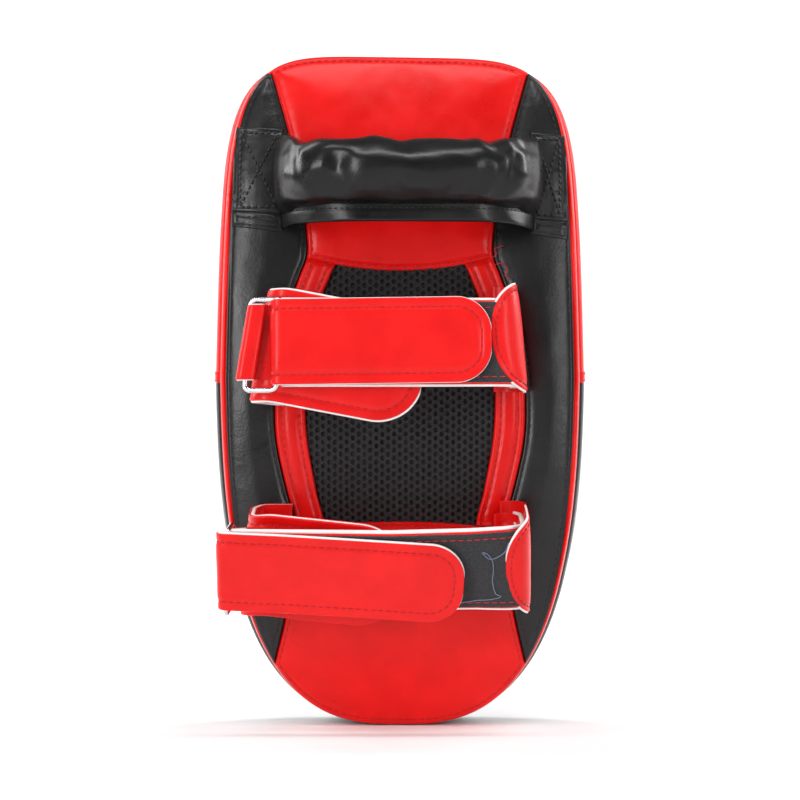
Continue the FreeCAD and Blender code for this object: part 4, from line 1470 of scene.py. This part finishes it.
def band(strap):
    """The band from its sewn root, out over the fold and across to the ring."""
    name, fold = strap.name, strap.band_fold
    bar_x, bar_out = strap.bar
    top = bar_out - BAR_GAP
    line = rounded([(fold - 17, 2.4), (fold, 2.4), (fold, top), (bar_x + 0.6, top)], (15, 15))
    share = (fold - bar_x) / lengths(line)[-1]
    roll = [(0, 0), (0.1, strap.fold_roll), (0.4, strap.fold_roll), (0.62, 0), (1, 0)]
    run = Run(strap, line, -1, strap.tipping(0.15, 0.4), roll, strap.band_drop)
    moves = dict(joined=("pad", f"{name}_ring_link",
                         strap.metres(bar_x + 40, top), strap.metres(bar_x + 4, top)))
    length, half = run.length, STRAP / 2
    stitched = [straight(2, length - 2, w) for w in (half - EDGE_STITCH, EDGE_STITCH - half)]
    sandwich(run, f"{name}_band", strip_grid(length, half - 0.5),
             strip_grid(length, half + 0.7, start=14.0),
             [f"{name}_strap_band", f"{name}_band_foam"], 81, stitched, moves)
    loop_strip(strap, run, moves, share)
    anchor_flap(strap)
    return run


def loop_strip(strap, run, moves, share):
    """The brushed loop strip sewn along the band's top."""
    name = strap.name
    start = run.length * (1 - share) + strap.loop_start
    grid = strip_grid(run.length - 14.0, LOOP_HALF, start=start, edges=(0, 0.1, 0.3, 0.7, 1.4, 2.4))
    distance = rim_gap(grid)
    s, w = grid[..., 0], grid[..., 1]
    front = 0.2 + 0.95 * rolled(distance, 0.6) - 0.35 * groove(distance, 3.2, 0.6)
    front = front + 0.12 * waves(s, w, 3.0, 91)
    slab = Slab(grid, run, front, -0.2)
    node = f"{name}_loop_strip"
    dress(slab.mesh(f"{name}_loop"), "loop", "loop_fabric", [node], **moves)
    runs = [(straight(start + 1, run.length - 16, w), slab, 0.15)
            for w in (LOOP_HALF - 3.2, 3.2 - LOOP_HALF)]
    stitch_run(f"{name}_loop_stitches", runs, "red_thread", "red_strap_pu", length=3.4, **moves)


def anchor_flap(strap):
    """The D-shaped flap that folds round the band's root and over its fold."""
    name, fold = strap.name, strap.band_fold + 1.3
    top = strap.bar[1] - BAR_GAP + 1.3
    line = rounded([(fold - 15, 1.2), (fold, 1.2), (fold, top), (fold - strap.flap_reach, top)],
                   (14, strap.flap_reach - 2.5))
    roll = [(0, 0), (0.2, strap.fold_roll), (1, strap.fold_roll)]
    drop = [(0, strap.flap_rise + strap.root_drop), (0.3, strap.flap_rise + strap.root_drop / 2),
            (0.6, strap.flap_rise), (1, strap.flap_rise)]
    run = Run(strap, line, -1, strap.tipping(0.25, 0.6), roll, drop)
    half, length = ROOT / 2, run.length
    grid = d_grid(length, half - 0.6, FLAP_CURVE)
    wider = d_grid(length + 0.8, half + 0.2, FLAP_CURVE, start=length * 0.42)
    distance = rim_gap(grid)
    s, w = grid[..., 0], grid[..., 1]
    front = skin_front(distance, s, w, 95, FLAP_STITCH)
    slab = Slab(grid, run, front, -SKIN - 0.1)
    dress(slab.mesh(f"{name}_flap"), "strap", "red_strap_pu", [f"{name}_anchor_flap"])
    gap = rim_gap(wider)
    core = Slab(wider, run, -SKIN + 0.2 - 0.5 * (1 - rolled(gap, 0.6)), -SKIN - 0.8)
    dress(core.mesh(f"{name}_flap_core"), "white", "white_strap_foam")
    lining = Slab(grid, run, -SKIN - 0.75, -SKIN - 1.1)
    dress(lining.mesh(f"{name}_flap_lining"), "strap", "red_strap_pu")
    curve = d_line(length, half - 0.6, FLAP_CURVE, FLAP_STITCH)
    stitch_run(f"{name}_flap_stitches", [(curve, slab, 0.2)], "red_thread", "red_strap_pu",
               length=2.6)


def d_width(over):
    """The share of a letter D's width that is left at a share of its bow's depth."""
    return np.maximum(1 - over**2.6, 0) ** (1 / 2.2)


def d_grid(length, half, depth, start=0.0):
    """A strip whose far end is one wide curve, like the bow of a letter D."""
    ends = (0.0, 0.05, 0.2, 0.5, 1.0, 1.8, 2.9, 4.0)
    along = start + (length - start) * shares(length - start, 2.0, ends, (False, True))
    across = 2 * shares(2 * half, 3.0, (0.0, 0.1, 0.3, 0.65, 1.2, 2.0, 2.9, 3.8, 5.5)) - 1
    over = np.clip((along - (length - depth)) / depth, 0, 1)
    s, q = np.meshgrid(along, across, indexing="ij")
    return np.stack([s, q * np.maximum(half * d_width(over), 4.0)[:, None]], -1)


def d_line(length, half, depth, inset):
    """The stitching line that follows a D-shaped end."""
    over = np.linspace(0, 1, 60)
    s = length - depth + (depth - inset) * over
    w = (half - inset) * d_width(over)
    line = np.vstack([np.stack([s, w], -1), np.stack([s, -w], -1)[::-1]])
    return evenly(line, np.linspace(0, 1, 260))


def tail(strap):
    """The strap's turn round the ring's bar and its tail, closed back over the band."""
    name = strap.name
    bar_x, bar_out = strap.bar
    turn = np.linspace(0, math.pi, 26)
    around = np.stack([bar_x - WRAP * np.sin(turn), bar_out - WRAP * np.cos(turn)], -1)
    ahead = smooth_curve([
        (bar_x, bar_out + WRAP), (bar_x + 9, bar_out + WRAP - 0.2),
        (bar_x + 28, bar_out + WRAP - 1.5), (bar_x + 60, bar_out + WRAP - 1.8),
        (strap.tail_tip, bar_out + WRAP - 1.6)], 120)
    line = np.vstack([[(bar_x + 1.0, bar_out - WRAP)], around, ahead[1:]])
    line = evenly(line, np.linspace(0, 1, 260))
    length = lengths(line)[-1]
    drop = [(0, 0), (0.12, 0), (1, strap.tail_drop)]
    tilt = [(0, strap.tilt[1]), (1, strap.tilt[1])]
    run = Run(strap, line, 1, tilt, [(0, 0), (1, strap.tail_roll)], drop)
    moves = dict(joined=(f"{name}_ring_link", f"{name}_tail",
                         strap.metres(bar_x + 1, bar_out), strap.metres(bar_x + 12, bar_out)))
    half = STRAP / 2
    grid = strip_grid(length, half - 0.4, TAIL_CORNER)
    wider = strip_grid(length + 0.2, half - 0.1, TAIL_CORNER + 0.2)
    line = tip_line(length, half - 0.4, TAIL_CORNER, 5.0)
    sandwich(run, f"{name}_tail", grid, wider,
             [f"{name}_strap_tail", f"{name}_tail_foam"], 101, [line], moves)
    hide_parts(f"{name}_strap_turn")
    hook = strip_grid(length - 8.0, HOOK_HALF, 14.0, start=length - 8.0 - HOOK_LENGTH)
    gap = rim_gap(hook)
    slab = Slab(hook, run, -WHOLE + 0.1, -WHOLE - CLOSURE * rolled(gap, 0.5) - 0.05)
    dress(slab.mesh(f"{name}_hook"), "hook", "hook_fabric", [f"{name}_hook_strip"], **moves)


def tongue(strap):
    """The padded tongue under the buckle, with the loop of PU that holds the ring on top."""
    name = strap.name
    fold, tip, degrees, root = strap.tongue
    top = strap.held[1] - TONGUE_DEPTH
    slope = math.tan(math.radians(degrees))
    line = rounded([(root, 2.2), (fold, 2.2), (fold, top), (tip, top)], (9, 12))

    def drop_at(x):
        return -(x - fold) * slope

    roll = [(0, degrees * 0.6), (0.2, degrees), (1, degrees)]
    span = lengths(line)[-1]
    drop = [(0, drop_at(root) + strap.root_drop),
            ((root - fold) / span, 0.8 * strap.root_drop - strap.sink),
            ((root - fold + top) / span, -strap.sink),
            (1, drop_at(tip) - strap.sink)]
    run = Run(strap, line, 1, strap.tipping(0.12, 0.35), roll, drop)
    half, length = ROOT / 2 + 1.2, run.length
    shown = 0.5 if name == "upper" else -0.5
    sandwich(run, f"{name}_tongue", strip_grid(length, half - 0.4, TONGUE_CORNER),
             strip_grid(length + 0.8, half + shown, TONGUE_CORNER + 0.5),
             [f"{name}_tongue", f"{name}_tongue_foam"], 111,
             [tip_line(length, half - 0.4, TONGUE_CORNER, 3.0)], {})
    ring_loop(strap, degrees)
    ring(strap)


def ring_loop(strap, degrees):
    """The loop of PU folded round the ring's held bar."""
    name = strap.name
    held_x, held_out = strap.held
    outer = KEEPER_WRAP
    turn = np.linspace(0, math.pi, 24)
    around = np.stack([held_x - outer * np.sin(turn), held_out + outer * np.cos(turn)], -1)
    line = np.vstack([[(held_x + 7.0, held_out + outer - 1.2)],
                      [(held_x + 3.0, held_out + outer - 0.2)], around,
                      [(held_x + 22.0, held_out - outer)]])
    line = evenly(line, np.linspace(0, 1, 120))
    run = Run(strap, line, -1, [(0, strap.tilt[1]), (1, strap.tilt[1])],
              [(0, degrees), (1, degrees)])
    grid = strip_grid(run.length, KEEPER_HALF, step=1.2, edges=(0, 0.1, 0.3, 0.7, 1.4, 2.4, 3.4))
    distance = rim_gap(grid)
    s, w = grid[..., 0], grid[..., 1]
    front = KEEPER_SKIN * (rolled(distance, 0.6) - 1) + 0.12 * waves(s, w, 9.0, 121)
    slab = Slab(grid, run, front, -KEEPER_SKIN - 0.1)
    follows = ("pad", f"{name}_ring_link",
               strap.metres(held_x + 8, held_out), strap.metres(held_x - 1, held_out))
    dress(slab.mesh(f"{name}_keeper"), "strap", "red_strap_pu", [f"{name}_ring_loop"],
          joined=follows)
    wider = strip_grid(19.0, KEEPER_HALF + 0.5, step=1.6, edges=(0, 0.1, 0.3, 0.7, 1.4, 2.4))
    gap = rim_gap(wider)
    lining = Slab(wider, run, -KEEPER_SKIN - 0.35 * (1 - rolled(gap, 0.5)), -KEEPER_SKIN - 0.6)
    dress(lining.mesh(f"{name}_keeper_lining"), "white", "white_strap_foam", joined=follows)


def ring(strap):
    """The chromed wire ring, one bar in its keeper and the other in the strap's turn."""
    name = strap.name
    half = RING_HALF
    (held_x, held_out), (bar_x, bar_out) = strap.held, strap.bar
    reach = math.hypot(bar_x - held_x, bar_out - held_out)
    across = ((bar_x - held_x) / reach, (bar_out - held_out) / reach)
    flat = rounded([(reach / 2, -half), (reach, -half), (reach, half), (0, half), (0, -half),
                    (reach / 2, -half)], (RING_CORNER,) * 4, 0.7)[:-1]
    lean = math.tan(math.radians(strap.tilt[1]))
    skew = math.tan(math.radians(strap.tongue[2] * 0.45))
    up = flat[:, 1] + RING_SLIDE
    local = np.stack([held_x + across[0] * flat[:, 0] + skew * up,
                      held_out + across[1] * flat[:, 0] + lean * up, up], -1)
    piece = tube(f"{name}_wire_ring", strap.world(local), WIRE, 16, closed=True)
    dress(piece, "chrome", "steel_wire", [f"{name}_ring"], body=f"{name}_ring_link")


def stray_threads(run):
    """Loose ends left by the sewing: one over the lower loop strip, two beside the mesh."""
    middle = run.length - 146.0
    curl = [(6, 16), (4, 11), (0, 8), (-4, 7), (-8, 11), (-5, 10), (-2.5, 6), (-2, 0), (-2.5, -6),
            (-1, -13), (2, -15), (-4, -17), (-12, -17.5), (-20, -18.5)]
    flat = smooth_curve([(middle - along, across) for along, across in curl], 130)
    height = 1.5 + 0.35 * np.sin(np.linspace(0, 21, 130))
    piece = tube("loop_stray_thread", run(flat[:, 0], flat[:, 1], height), 0.28, 6)
    dress(piece, "grey_thread", "red_strap_pu")
    for number, curl in enumerate(([(50, 73), (54, 76), (53, 79), (58, 81)],
                                   [(53, 70), (57, 71), (60, 68), (59, 64), (62, 62)])):
        flat = smooth_curve(curl, 40)
        height = 4.6 + 0.9 * np.sin(np.linspace(0, 5, 40))
        piece = tube(f"binding_stray_thread_{number}", on_back(flat[:, 0], flat[:, 1], height),
                     0.28, 6)
        dress(piece, "red_thread", "red_pu")


def straps():
    """Both forearm straps, the lower one hanging at a steeper lean."""
    upper = Strap(
        "upper", station=25.0, lean=-0.8, tilt=(-1.5, 0.0), root_drop=0.0,
        band_fold=65.6, band_drop=[(0, 0), (1, 0)], fold_roll=-5.5, loop_start=-4.0,
        flap_reach=17.5, flap_rise=3.0, tail_drop=1.6, tail_roll=-0.8,
        tongue=(-77.5, 13.0, 9.5, -62.0), sink=1.2,
    )
    lower = Strap(
        "lower", station=-86.0, lean=12.0, tilt=(-3.6, 11.0), root_drop=-5.5,
        band_fold=69.5, band_drop=[(0, -5.5), (0.3, 0), (0.6, -1.8), (1, -1.0)], fold_roll=-1.0,
        loop_start=-2.0, flap_reach=13.5, flap_rise=0.0, tail_drop=-8.2, tail_roll=3.7,
        tongue=(-86.0, 1.0, 5.5, -62.0), sink=3.4,
    )
    for strap in (upper, lower):
        run = band(strap)
        tail(strap)
        tongue(strap)
    stray_threads(run)


camera()
stage()
light()
strike_cover()
cover_hem()
welt()
foams()
sides = side_panels()
end_panels()
sponge()
air_mesh()
bindings()
grab_handle()
anchors(sides)
straps()
